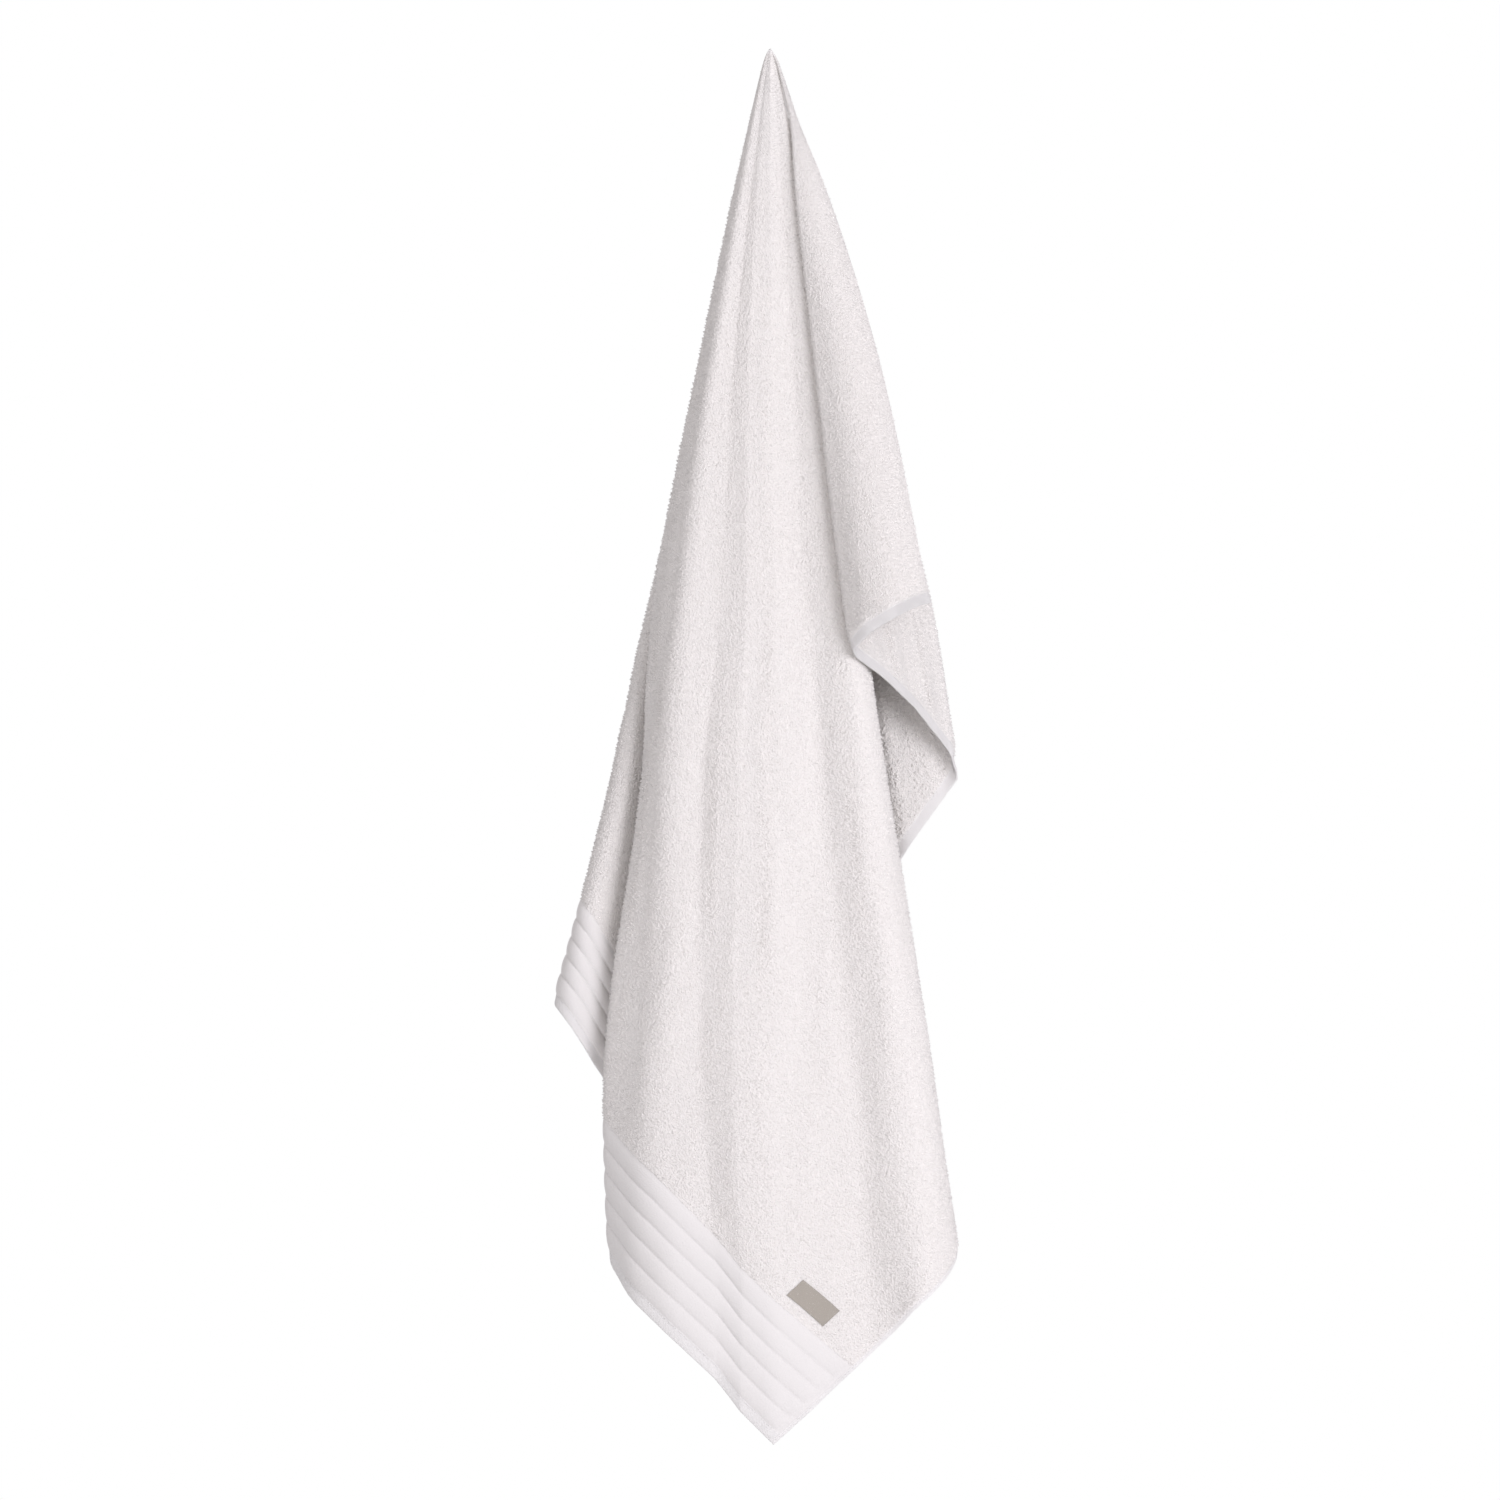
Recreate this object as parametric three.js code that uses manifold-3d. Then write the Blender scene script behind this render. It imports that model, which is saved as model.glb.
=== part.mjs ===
// A terry bath sheet hung by one point of a long edge, with a ribbed border and a small sewn label.
// Millimetres, +Z up. The hook's point is the origin, and the side with the label faces -Y.
import * as THREE from "three";
import { ConvexGeometry } from "three/addons/geometries/ConvexGeometry.js";
import { mergeVertices } from "three/addons/utils/BufferGeometryUtils.js";
import Module from "manifold-3d";

// The flat cloth. The hook holds a point of one long edge.
const CLOTH_WIDTH = 900;
const RIBBED_END_FROM_HOOK = 940;
const PLAIN_END_FROM_HOOK = 560;

// The cloth's make
const TERRY_THICKNESS = 4;
const HEM_THICKNESS = 2.6;
const HEM_WIDTH = 10.5;
const RIB_COUNT = 5;
const RIB_PITCH = 17.4;
const RIB_CREST_THICKNESS = 6.4;
const RIB_GROOVE_THICKNESS = 2.8;
const RIB_END_MARGIN = 16;
const RIBBED_BAND = HEM_WIDTH + RIB_COUNT * RIB_PITCH;

// Near the hook the cloth is pressed thin, and its folds are pressed tight.
const TIP_THICKNESS = 0.9;
const THICKNESS_GAIN = 0.022;
const TIP_FOLD_RADIUS = 0.8;
const SHEET_START = 34;
const GATHER_DEPTH = 46;
const GATHER_TOP_RADIUS = 5;
const GATHER_OVERSIZE = 1.05;
const TIP_BELOW_HOOK = 5;

// The sewn label, by its place on the flat cloth
const LABEL = {
  length: 42,
  height: 20,
  thickness: 0.9,
  fromSideHem: 47,
  fromRibbedEnd: 108,
  gap: 0.5,
};

// Bearings are degrees around the hook on the flat cloth, from the edge that runs to the ribbed end.
const RIBBED_CORNER = THREE.MathUtils.radToDeg(Math.atan(CLOTH_WIDTH / RIBBED_END_FROM_HOOK));
const PLAIN_CORNER = 180 - THREE.MathUtils.radToDeg(Math.atan(CLOTH_WIDTH / PLAIN_END_FROM_HOOK));
const FULL_TURN = 180;
const RIB_BEARINGS_END = 50;

// Each fold runs down from the hook. Its tip lies side and depth millimetres from the plumb line for each
// metre of cloth down from the hook, and its rounding has a radius for each metre. bearing is that of the
// cloth that the fold runs through. These are given at seven distances from the hook, or once where they
// don't change. turn is 1 where the cloth, followed by its bearing and seen from above, turns anticlockwise,
// and -1 where it turns clockwise. tip is the way that the fold points, spread its place in the gather at
// the hook, and slack the cloth taken up there.
const LEVELS = [60, 120, 250, 500, 700, 950, 1150];
const LEFT = [-1, 0];
const RIGHT = [1, 0];
const FRONT = [0, -1];
const BACK = [0, 1];
const FOLDS = [
  { name: "hidden selvedge", bearing: 0, turn: 0, tip: BACK, spread: [1, 7.5], slack: 15,
    radius: 0,
    side: [20, 20, 22, 24, 25, 26, 26],
    depth: [222, 222, 222, 222, 220, 216, 215] },
  { name: "back wave", bearing: [2.9, 2.9, 2.9, 4, 6, 6, 6],
    turn: -1, tip: FRONT, spread: [-1, 5.2], slack: 28,
    radius: 35,
    side: [-75, -75, -75, -75, -75, -75, -75],
    depth: [192, 192, 192, 192, 190, 187, 186] },
  { name: "back left bend", bearing: [7.6, 7.6, 7.6, 8.1, 11, 11, 11],
    turn: 1, tip: [-0.7, 0.7], spread: [-3.5, 5], slack: 45,
    radius: 34,
    side: [-158, -158, -160, -163, -167, -171, -172],
    depth: [206, 206, 204, 198, 190, 182, 180] },
  { name: "left outline", bearing: [13.6, 13.6, 13.8, 15.1, 20, 20, 20],
    turn: 1, tip: LEFT, spread: [-4.5, 2.6], slack: 88,
    radius: [14, 14, 14, 15, 15, 18, 18],
    side: [-199, -203, -205, -208, -212, -225, -234],
    depth: [107, 107, 106, 84, 36, 26, 26] },
  { name: "left valley", bearing: [19.5, 19.5, 19.8, 21.4, 27.4, 28.4, 28.4],
    turn: -1, tip: [0.6, 0.8], spread: [-2, 2.6], slack: 22,
    radius: 12,
    side: [-116, -114, -110, -106, -106, -98, -96],
    depth: [156, 156, 152, 124, 62, 42, 38] },
  { name: "front left", bearing: [29.5, 29.5, 29.4, 29.6, 32.2, 34.1, 35.4],
    turn: 1, tip: LEFT, spread: [-4.8, -0.6], slack: 16,
    radius: [13, 13, 13, 13, 12, 11, 11],
    side: [-214, -212, -210, -204, -166, -158, -127],
    depth: [10, 12, 15, 28, 4, 2, 4] },
  { name: "left shoulder", bearing: [33.3, 33.3, 33.3, 34.3, 35.4, 37.2, 38.1],
    turn: 1, tip: [-0.5, -0.87], spread: [-3.9, -2.6], slack: 11,
    radius: [24, 26, 30, 36, 34, 48, 60],
    side: [-175, -175, -172, -152, -134, -117, -96],
    depth: [-41, -41, -41, -40, -39, -36, -34] },
  { name: "left trough", bearing: [36.3, 36.3, 36.6, 37.7, 38, 39.9, 41],
    turn: -1, tip: BACK, spread: [-2, -3], slack: 6,
    radius: [36, 36, 36, 34, 28, 28, 32],
    side: [-124, -124, -114, -92, -88, -68, -44],
    depth: [-38, -38, -38, -38, -39, -41, -43] },
  { name: "left ridge", bearing: [39.4, 39.4, 39.7, 40.8, 40.9, 41.8, 42.4],
    turn: 1, tip: FRONT, spread: [-0.8, -3.6], slack: 2,
    radius: [36, 36, 36, 34, 28, 28, 32],
    side: [-72, -72, -62, -40, -40, -32, -18],
    depth: [-50, -50, -50, -50, -49, -48, -46] },
  { name: "middle ridge", bearing: RIBBED_CORNER, turn: 1, tip: [0.2, -0.98], spread: [0.5, -4], slack: 0,
    radius: 60,
    side: [4, 4, 8, 12, 11, 10, 10],
    depth: [-43, -43, -43, -43, -43, -45, -45] },
  { name: "right trough", bearing: [47.3, 47.3, 47.1, 46.8, 47, 48, 48],
    turn: -1, tip: BACK, spread: [3, -3], slack: 0,
    radius: 40,
    side: [66, 66, 66, 63, 65, 80, 80],
    depth: [-34, -34, -34, -34, -33, -33, -34] },
  { name: "front right", bearing: [54.5, 52.7, 52.4, 52.2, 52.2, 52.2, 52.2],
    turn: 1, tip: RIGHT, spread: [5, -2], slack: 0,
    radius: 30,
    side: [190, 160, 152, 152, 151, 151, 151],
    depth: [-16, -16, -16, -16, -16, -15, -15] },
  { name: "inner left", bearing: 69, turn: -1, tip: LEFT, spread: [-0.8, -0.2], slack: 10,
    radius: 13,
    side: [-78, -78, -78, -80, -84, -84, -84],
    depth: [12, 12, 12, 12, 10, 8, 8] },
  { name: "first back ridge", bearing: 83, turn: -1, tip: BACK, spread: [-0.4, 3.2], slack: 20,
    radius: 13,
    side: [-56, -56, -56, -58, -64, -67, -68],
    depth: [168, 168, 168, 170, 172, 174, 175] },
  { name: "first back valley", bearing: 95, turn: 1, tip: FRONT, spread: [0.3, 0.8], slack: 14,
    radius: 13,
    side: [-24, -24, -24, -24, -24, -24, -24],
    depth: [44, 44, 44, 42, 40, 40, 40] },
  { name: "second back ridge", bearing: 108.5, turn: -1, tip: BACK, spread: [1.6, 4], slack: 10,
    radius: 13,
    side: [26, 26, 26, 27, 28, 30, 30],
    depth: [190, 190, 190, 190, 190, 187, 186] },
  { name: "second back valley", bearing: PLAIN_CORNER, turn: 1, tip: FRONT, spread: [2.9, 0.8], slack: 10,
    radius: 13,
    side: [74, 74, 74, 74, 75, 76, 76],
    depth: [50, 50, 50, 46, 44, 41, 40] },
  { name: "third back ridge", bearing: 130, turn: -1, tip: BACK, spread: [4.2, 3.8], slack: 14,
    radius: 16,
    side: [130, 130, 130, 126, 120, 120, 120],
    depth: [165, 165, 165, 160, 140, 136, 135] },
  { name: "side bend", bearing: 135.5, turn: 1, tip: [-0.5, -0.87], spread: [5.0, 1.6], slack: 20,
    radius: 22,
    side: [172, 172, 172, 170, 158, 158, 158],
    depth: [112, 112, 108, 88, 66, 62, 62] },
  { name: "right outline", bearing: 140.6, turn: -1, tip: RIGHT, spread: [4.6, 1], slack: 22,
    radius: 20,
    side: [250, 262, 265, 282, 252, 242, 240],
    depth: [62, 62, 62, 58, 52, 50, 50] },
  { name: "flap fold", bearing: 161.5, turn: 1, tip: LEFT, spread: [5.6, -4.5], slack: 22,
    radius: [12, 14, 15, 15, 16, 16, 16],
    side: [236, 160, 134, 126, 136, 139, 140],
    depth: [-90, -84, -72, -70, -68, -66, -66] },
  { name: "flap shoulder", bearing: 171, turn: 1, tip: FRONT, spread: [5.6, -4.5], slack: 22,
    radius: [50, 144, 118, 84, 71, 69, 69],
    side: [244, 206, 229, 208, 208, 210, 210],
    depth: [-112, -104, -116, -122, -118, -115, -115] },
  { name: "outer selvedge", bearing: FULL_TURN, turn: 0, tip: RIGHT, spread: [5.6, -1], slack: 22,
    radius: 0,
    side: [310, 362, 348, 284, 272, 272, 272],
    depth: [-104, -12, -47, -84, -85, -82, -81] },
];

// The mesh's steps
const REFERENCE_LEVEL = 1000;
const FOLD_STEP_DEGREES = 40;
const RUN_STEP = 115;
const RIB_END_STEPS = 6;
const DISTANCE_ROUNDS = 4;
const UPPER_ROWS = [0, 0.05, 0.11, 0.19, 0.29, 0.41, 0.53, 0.65, 0.77, 0.89, 1];
const RIB_ROWS = [0.7, 0.3, 0];
const SQUEEZED_ROW = 1;
const SMALL_STEP = 0.5;

const { radToDeg, degToRad, lerp, clamp, smoothstep } = THREE.MathUtils;

// A smooth value between the levels, from its values at them, or a value that is the same at them all.
function atLevel(values, distance) {
  if (!Array.isArray(values)) return values;
  const last = LEVELS.length - 1;
  const d = clamp(distance, LEVELS[0], LEVELS[last]);
  let i = 0;
  while (i < last - 1 && d > LEVELS[i + 1]) i += 1;
  const slope = (k) => {
    const before = Math.max(k - 1, 0);
    const after = Math.min(k + 1, last);
    return (values[after] - values[before]) / (LEVELS[after] - LEVELS[before]);
  };
  const span = LEVELS[i + 1] - LEVELS[i];
  const t = (d - LEVELS[i]) / span;
  const rise = values[i + 1] - values[i];
  const a = slope(i) * span - rise;
  const b = rise - slope(i + 1) * span;
  return values[i] + rise * t + t * (1 - t) * (a * (1 - t) + b * t);
}

// A fold's rounding as a wheel in the plan, in millimetres for each millimetre of drop.
function wheelAt(fold, distance) {
  const radius = fold.turn === 0 ? 0 : atLevel(fold.radius, distance) / 1000 + TIP_FOLD_RADIUS / distance;
  const tipX = atLevel(fold.side, distance) / 1000 + fold.spread[0] / distance;
  const tipY = atLevel(fold.depth, distance) / 1000 + fold.spread[1] / distance;
  const centre = new THREE.Vector2(tipX - radius * fold.tip[0], tipY - radius * fold.tip[1]);
  return { centre, radius, turn: fold.turn };
}

// The heading of the straight run of cloth that leaves one wheel and meets the next.
function headingBetween(from, to) {
  const across = to.centre.clone().sub(from.centre);
  const offset = to.turn * to.radius - from.turn * from.radius;
  const length = Math.sqrt(across.lengthSq() - offset * offset);
  return Math.atan2(across.y, across.x) - Math.atan2(offset, length);
}

// The point of a wheel where the cloth has a heading.
function wheelPoint(wheel, heading) {
  const reach = wheel.turn * wheel.radius;
  return new THREE.Vector2(
    wheel.centre.x + reach * Math.sin(heading),
    wheel.centre.y - reach * Math.cos(heading),
  );
}

// The plan at one distance: the wheels and their bearings, the headings of the runs between them, and how
// far the cloth wraps around each wheel.
function planAt(distance) {
  const bearings = FOLDS.map((fold) => atLevel(fold.bearing, distance));
  const wheels = FOLDS.map((fold) => wheelAt(fold, distance));
  const runs = wheels.slice(1).map((wheel, i) => headingBetween(wheels[i], wheel));
  const wraps = wheels.map((wheel, i) => {
    if (wheel.turn === 0) return 0;
    const turned = wheel.turn * (runs[i] - runs[i - 1]);
    return THREE.MathUtils.euclideanModulo(turned, 2 * Math.PI);
  });
  return { bearings, wheels, runs, wraps };
}

// The cloth from the middle of one fold to the middle of the next has three parts: it leaves the fold, runs
// straight, and goes into the next fold.
const LEAVING = 0;
const RUNNING = 1;
const ENTERING = 2;

function stretchAt(plan, fold) {
  const from = plan.wheels[fold];
  const to = plan.wheels[fold + 1];
  const start = wheelPoint(from, plan.runs[fold]);
  const end = wheelPoint(to, plan.runs[fold]);
  const lengths = [
    (from.radius * plan.wraps[fold]) / 2,
    start.distanceTo(end),
    (to.radius * plan.wraps[fold + 1]) / 2,
  ];
  return { start, end, lengths };
}

// The point of the plan at one column, and the cloth's heading there.
function planPoint(plan, column) {
  const { fold, part, share } = column;
  if (part === RUNNING) {
    const { start, end } = stretchAt(plan, fold);
    return { point: start.lerp(end, share), heading: plan.runs[fold] };
  }
  const leaving = part === LEAVING;
  const around = leaving ? fold : fold + 1;
  const wheel = plan.wheels[around];
  const turned = leaving ? share - 1 : share;
  const heading = plan.runs[fold] + (wheel.turn * plan.wraps[around] * turned) / 2;
  return { point: wheelPoint(wheel, heading), heading };
}

// The bearing of a column at the distance of a plan: the cloth between two folds is shared out by length.
function bearingOf(plan, column) {
  const { fold, part, share } = column;
  const { lengths } = stretchAt(plan, fold);
  const total = lengths[0] + lengths[1] + lengths[2];
  const before = lengths.slice(0, part).reduce((sum, length) => sum + length, 0);
  const along = (before + lengths[part] * share) / total;
  return lerp(plan.bearings[fold], plan.bearings[fold + 1], along);
}

// The slack of the cloth along a bearing, from the folds' bearings at the lowest level.
const LOWEST_BEARINGS = FOLDS.map((fold) => atLevel(fold.bearing, LEVELS.at(-1)));

function slackAt(bearing) {
  const above = LOWEST_BEARINGS.findIndex((candidate) => candidate > bearing);
  const next = above > 0 ? above : FOLDS.length - 1;
  const [low, high] = [LOWEST_BEARINGS[next - 1], LOWEST_BEARINGS[next]];
  return lerp(FOLDS[next - 1].slack, FOLDS[next].slack, (bearing - low) / (high - low));
}

// The columns of the mesh: steps around each half of a fold, and steps along each run between two folds.
function makeColumns() {
  const plan = planAt(REFERENCE_LEVEL);
  const columns = [];
  const foldSteps = (i) => {
    if (FOLDS[i].turn === 0) return 0;
    return Math.max(1, Math.round(radToDeg(plan.wraps[i] / 2) / FOLD_STEP_DEGREES));
  };
  FOLDS.slice(0, -1).forEach((fold, i) => {
    const plainSteps = Math.max(1, Math.round((stretchAt(plan, i).lengths[RUNNING] * 1000) / RUN_STEP));
    const runSteps = fold.bearing === RIBBED_CORNER ? RIB_END_STEPS : plainSteps;
    [foldSteps(i), runSteps, foldSteps(i + 1)].forEach((steps, part) => {
      for (let k = 0; k < steps; k += 1) columns.push({ fold: i, part, share: k / steps });
    });
  });
  columns.push({ fold: FOLDS.length - 2, part: RUNNING, share: 1 });
  return columns;
}

// The cloth's reach from the hook along a bearing in degrees, to a line that runs inside its edges.
function reachTo(bearing, inside = 0) {
  const angle = degToRad(bearing);
  if (bearing <= RIBBED_CORNER) return (RIBBED_END_FROM_HOOK - inside) / Math.cos(angle);
  if (bearing <= PLAIN_CORNER) return (CLOTH_WIDTH - inside) / Math.sin(angle);
  return (inside - PLAIN_END_FROM_HOOK) / Math.cos(angle);
}

// Where a spot of the hung cloth lies on the flat one: its distance from each edge.
function flatPlace(bearing, distance) {
  const slack = slackAt(bearing);
  const reach = distance + slack * smoothstep(distance, 0, 2 * slack + 1);
  const angle = degToRad(bearing);
  return {
    ribbedEnd: RIBBED_END_FROM_HOOK - reach * Math.cos(angle),
    plainEnd: PLAIN_END_FROM_HOOK + reach * Math.cos(angle),
    sideHem: CLOTH_WIDTH - reach * Math.sin(angle),
    hookEdge: reach * Math.sin(angle),
  };
}

// A point of the cloth's middle surface, at a distance from the hook.
function clothPoint(column, distance, shift = 0) {
  const { point, heading } = planPoint(planAt(distance), column);
  const slopeX = point.x + shift * Math.cos(heading);
  const slopeY = point.y + shift * Math.sin(heading);
  const direction = new THREE.Vector3(slopeX, slopeY, -1).normalize();
  return direction.multiplyScalar(distance).setZ(direction.z - TIP_BELOW_HOOK);
}

// The same point with the direction that the face with the label looks in.
function clothFrame(column, distance) {
  const point = clothPoint(column, distance);
  const shift = SMALL_STEP / distance;
  const across = clothPoint(column, distance, shift).sub(clothPoint(column, distance, -shift));
  const down = clothPoint(column, distance + SMALL_STEP).sub(clothPoint(column, distance - SMALL_STEP));
  const outward = down.cross(across).normalize();
  return { point, outward };
}

// The cloth's thickness: terry, thinner hems, and ribs across the ribbed end.
function thicknessAt(place, distance) {
  const edge = Math.min(place.ribbedEnd, place.plainEnd, place.sideHem);
  const inTerry = smoothstep(edge, HEM_WIDTH - 1, HEM_WIDTH + 3);
  let thickness = lerp(HEM_THICKNESS, TERRY_THICKNESS, inTerry);
  const ribs = (place.ribbedEnd - HEM_WIDTH) / RIB_PITCH;
  const inRibs = ribs > 0 && ribs < RIB_COUNT && place.sideHem > RIB_END_MARGIN;
  if (inRibs) {
    const fromGroove = Math.abs(((ribs + 0.5) % 1) - 0.5);
    const rise = smoothstep(fromGroove, 0, 0.28);
    thickness = lerp(RIB_GROOVE_THICKNESS, RIB_CREST_THICKNESS, rise);
  }
  return Math.min(thickness, TIP_THICKNESS + THICKNESS_GAIN * distance);
}

// The mesh's rows, each a function from a column to a distance from the hook. The lower ones follow the
// ribs, and where there are no ribs they are squeezed just inside the hem.
function makeRows() {
  const bands = [RIBBED_BAND + HEM_WIDTH / 2];
  for (let rib = RIB_COUNT - 1; rib >= 0; rib -= 1) {
    RIB_ROWS.forEach((share) => bands.push(HEM_WIDTH + (rib + share) * RIB_PITCH));
  }
  const edgeRow = bands.length;
  const lower = [...bands, 0].map((band, i) => (column) => {
    const inside = i === edgeRow ? 0 : HEM_WIDTH + SQUEEZED_ROW * (edgeRow - 1 - i);
    let distance = REFERENCE_LEVEL;
    for (let round = 0; round < DISTANCE_ROUNDS; round += 1) {
      const bearing = bearingOf(planAt(distance), column);
      const squeezed = reachTo(bearing, inside);
      const ribLine = (RIBBED_END_FROM_HOOK - band) / Math.cos(degToRad(bearing));
      const followsRibs = bearing < RIB_BEARINGS_END && ribLine < squeezed;
      distance = (followsRibs ? ribLine : squeezed) - slackAt(bearing);
    }
    return distance;
  });
  const shares = UPPER_ROWS.slice(0, -1);
  const upper = shares.map((share) => (column) => lerp(SHEET_START, lower[0](column), share));
  return [...upper, ...lower];
}

// A closed mesh between two equal grids of points, the first of them on the outward side.
function closedGrid(outer, inner) {
  const rows = outer.length;
  const columns = outer[0].length;
  const positions = [...outer.flat(), ...inner.flat()].flatMap((p) => p.toArray());
  const at = (side, row, column) => (side * rows + row) * columns + column;
  const index = [];
  const quad = (a, b, c, d) => index.push(a, b, c, a, c, d);
  for (let row = 0; row < rows - 1; row += 1) {
    for (let column = 0; column < columns - 1; column += 1) {
      quad(at(0, row, column), at(0, row + 1, column), at(0, row + 1, column + 1), at(0, row, column + 1));
      quad(at(1, row, column), at(1, row, column + 1), at(1, row + 1, column + 1), at(1, row + 1, column));
    }
  }
  const end = columns - 1;
  for (let row = 0; row < rows - 1; row += 1) {
    quad(at(0, row, 0), at(1, row, 0), at(1, row + 1, 0), at(0, row + 1, 0));
    quad(at(0, row + 1, end), at(1, row + 1, end), at(1, row, end), at(0, row, end));
  }
  const low = rows - 1;
  for (let column = 0; column < end; column += 1) {
    quad(at(0, 0, column + 1), at(1, 0, column + 1), at(1, 0, column), at(0, 0, column));
    quad(at(0, low, column), at(1, low, column), at(1, low, column + 1), at(0, low, column + 1));
  }
  const geometry = new THREE.BufferGeometry();
  geometry.setAttribute("position", new THREE.Float32BufferAttribute(positions, 3));
  geometry.setIndex(index);
  return geometry;
}

// The hanging sheet, from just below the gather to its hems.
function makeSheet(columns) {
  const rows = makeRows();
  const grid = rows.map((row) =>
    columns.map((column) => {
      const distance = row(column);
      const { point, outward } = clothFrame(column, distance);
      const bearing = bearingOf(planAt(distance), column);
      const half = thicknessAt(flatPlace(bearing, distance), distance) / 2;
      return { point, outward, half };
    }),
  );
  const onFace = (spot, sign) => spot.point.clone().addScaledVector(spot.outward, sign * spot.half);
  const face = (sign) => grid.map((row) => row.map((spot) => onFace(spot, sign)));
  return closedGrid(face(1), face(-1));
}

// The cloth bunched at the hook: one solid lump around the first stretch of every fold.
function makeGather(columns) {
  const points = [];
  [SHEET_START, GATHER_DEPTH].forEach((distance) => {
    columns.forEach((column) => points.push(clothPoint(column, distance)));
  });
  const centre = new THREE.Box3().setFromPoints(points).getCenter(new THREE.Vector3());
  points.forEach((point) => point.sub(centre).multiplyScalar(GATHER_OVERSIZE).add(centre));
  const top = new THREE.SphereGeometry(GATHER_TOP_RADIUS, 16, 8);
  top.scale(1, 1, 1.2);
  top.translate(0, 0, -GATHER_TOP_RADIUS * 1.2);
  const ball = top.getAttribute("position");
  for (let i = 0; i < ball.count; i += 1) {
    points.push(new THREE.Vector3().fromBufferAttribute(ball, i));
  }
  return new ConvexGeometry(points);
}

// The distance from the hook and the columns beside a place on the front panel's flat cloth.
function findOnCloth(columns, fromSideHem, fromRibbedEnd) {
  const sideways = CLOTH_WIDTH - fromSideHem;
  const along = RIBBED_END_FROM_HOOK - fromRibbedEnd;
  const bearing = radToDeg(Math.atan2(sideways, along));
  const distance = Math.hypot(sideways, along) - slackAt(bearing);
  const plan = planAt(distance);
  const bearings = columns.map((column) => bearingOf(plan, column));
  const next = bearings.findIndex((candidate) => candidate > bearing);
  const share = (bearing - bearings[next - 1]) / (bearings[next] - bearings[next - 1]);
  return { before: columns[next - 1], after: columns[next], share, distance };
}

// The label: a thin woven patch that follows the cloth just above the ribs.
function makeLabel(columns) {
  const across = 6;
  const down = 3;
  const outer = [];
  const inner = [];
  for (let j = 0; j <= down; j += 1) {
    outer.push([]);
    inner.push([]);
    for (let i = 0; i <= across; i += 1) {
      const fromSideHem = LABEL.fromSideHem + (LABEL.length * (across - i)) / across;
      const fromRibbedEnd = LABEL.fromRibbedEnd + (LABEL.height * (down - j)) / down;
      const { before, after, share, distance } = findOnCloth(columns, fromSideHem, fromRibbedEnd);
      const from = clothFrame(before, distance);
      const to = clothFrame(after, distance);
      const point = from.point.lerp(to.point, share);
      const outward = from.outward.lerp(to.outward, share).normalize();
      const seat = TERRY_THICKNESS / 2 + LABEL.gap;
      outer[j].push(point.clone().addScaledVector(outward, seat + LABEL.thickness));
      inner[j].push(point.clone().addScaledVector(outward, seat));
    }
  }
  return closedGrid(outer, inner);
}

// A closed geometry as a solid, and back.
const library = await Module();
library.setup();

function toSolid(geometry) {
  const bare = geometry.clone();
  bare.deleteAttribute("normal");
  bare.deleteAttribute("uv");
  const merged = mergeVertices(bare, 1e-4);
  return new library.Manifold(
    new library.Mesh({
      numProp: 3,
      vertProperties: merged.getAttribute("position").array,
      triVerts: new Uint32Array(merged.getIndex().array),
    }),
  );
}

function toGeometry(solid) {
  const mesh = solid.getMesh();
  const geometry = new THREE.BufferGeometry();
  geometry.setAttribute("position", new THREE.BufferAttribute(mesh.vertProperties, 3));
  geometry.setIndex(new THREE.BufferAttribute(mesh.triVerts, 1));
  geometry.computeVertexNormals();
  return geometry;
}

// The part
const columns = makeColumns();
const terry = new THREE.MeshStandardMaterial({ color: 0xf1eeee, roughness: 0.95, metalness: 0 });
const labelWeave = new THREE.MeshStandardMaterial({ color: 0xc8c0b4, roughness: 0.7, metalness: 0 });

const clothSolid = toSolid(makeSheet(columns)).add(toSolid(makeGather(columns)));
const cloth = new THREE.Mesh(toGeometry(clothSolid), terry);
cloth.name = "cloth";

const label = new THREE.Mesh(makeLabel(columns), labelWeave);
label.name = "label";

const bathSheet = new THREE.Group();
bathSheet.add(cloth, label);

export default bathSheet;
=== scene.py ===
"""Looks of the hanging terry bath sheet: the folded cloth, its pile, hems, stitches and label.

Lengths in the tables are millimetres, and the scene is in metres. The label's side faces -Y.
"""

import math

import bpy
import numpy as np
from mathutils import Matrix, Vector


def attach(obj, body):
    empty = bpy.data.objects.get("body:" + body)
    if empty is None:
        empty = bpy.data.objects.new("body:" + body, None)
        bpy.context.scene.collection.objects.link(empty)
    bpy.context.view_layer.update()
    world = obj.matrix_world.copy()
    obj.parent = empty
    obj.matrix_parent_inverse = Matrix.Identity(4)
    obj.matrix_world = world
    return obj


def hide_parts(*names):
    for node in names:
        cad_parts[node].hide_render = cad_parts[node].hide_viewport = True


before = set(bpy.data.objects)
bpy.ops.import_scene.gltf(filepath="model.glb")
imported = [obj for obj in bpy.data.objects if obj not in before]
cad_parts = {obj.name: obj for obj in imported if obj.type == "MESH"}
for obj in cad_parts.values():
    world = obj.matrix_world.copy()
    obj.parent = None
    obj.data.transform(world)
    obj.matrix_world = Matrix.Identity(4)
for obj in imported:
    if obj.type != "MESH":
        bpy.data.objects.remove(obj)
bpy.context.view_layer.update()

MM = 0.001

# The flat cloth. The hook holds a point of one long edge.
CLOTH_WIDTH = 900
RIBBED_END_FROM_HOOK = 940
PLAIN_END_FROM_HOOK = 560
CLOTH_LENGTH = RIBBED_END_FROM_HOOK + PLAIN_END_FROM_HOOK

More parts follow.
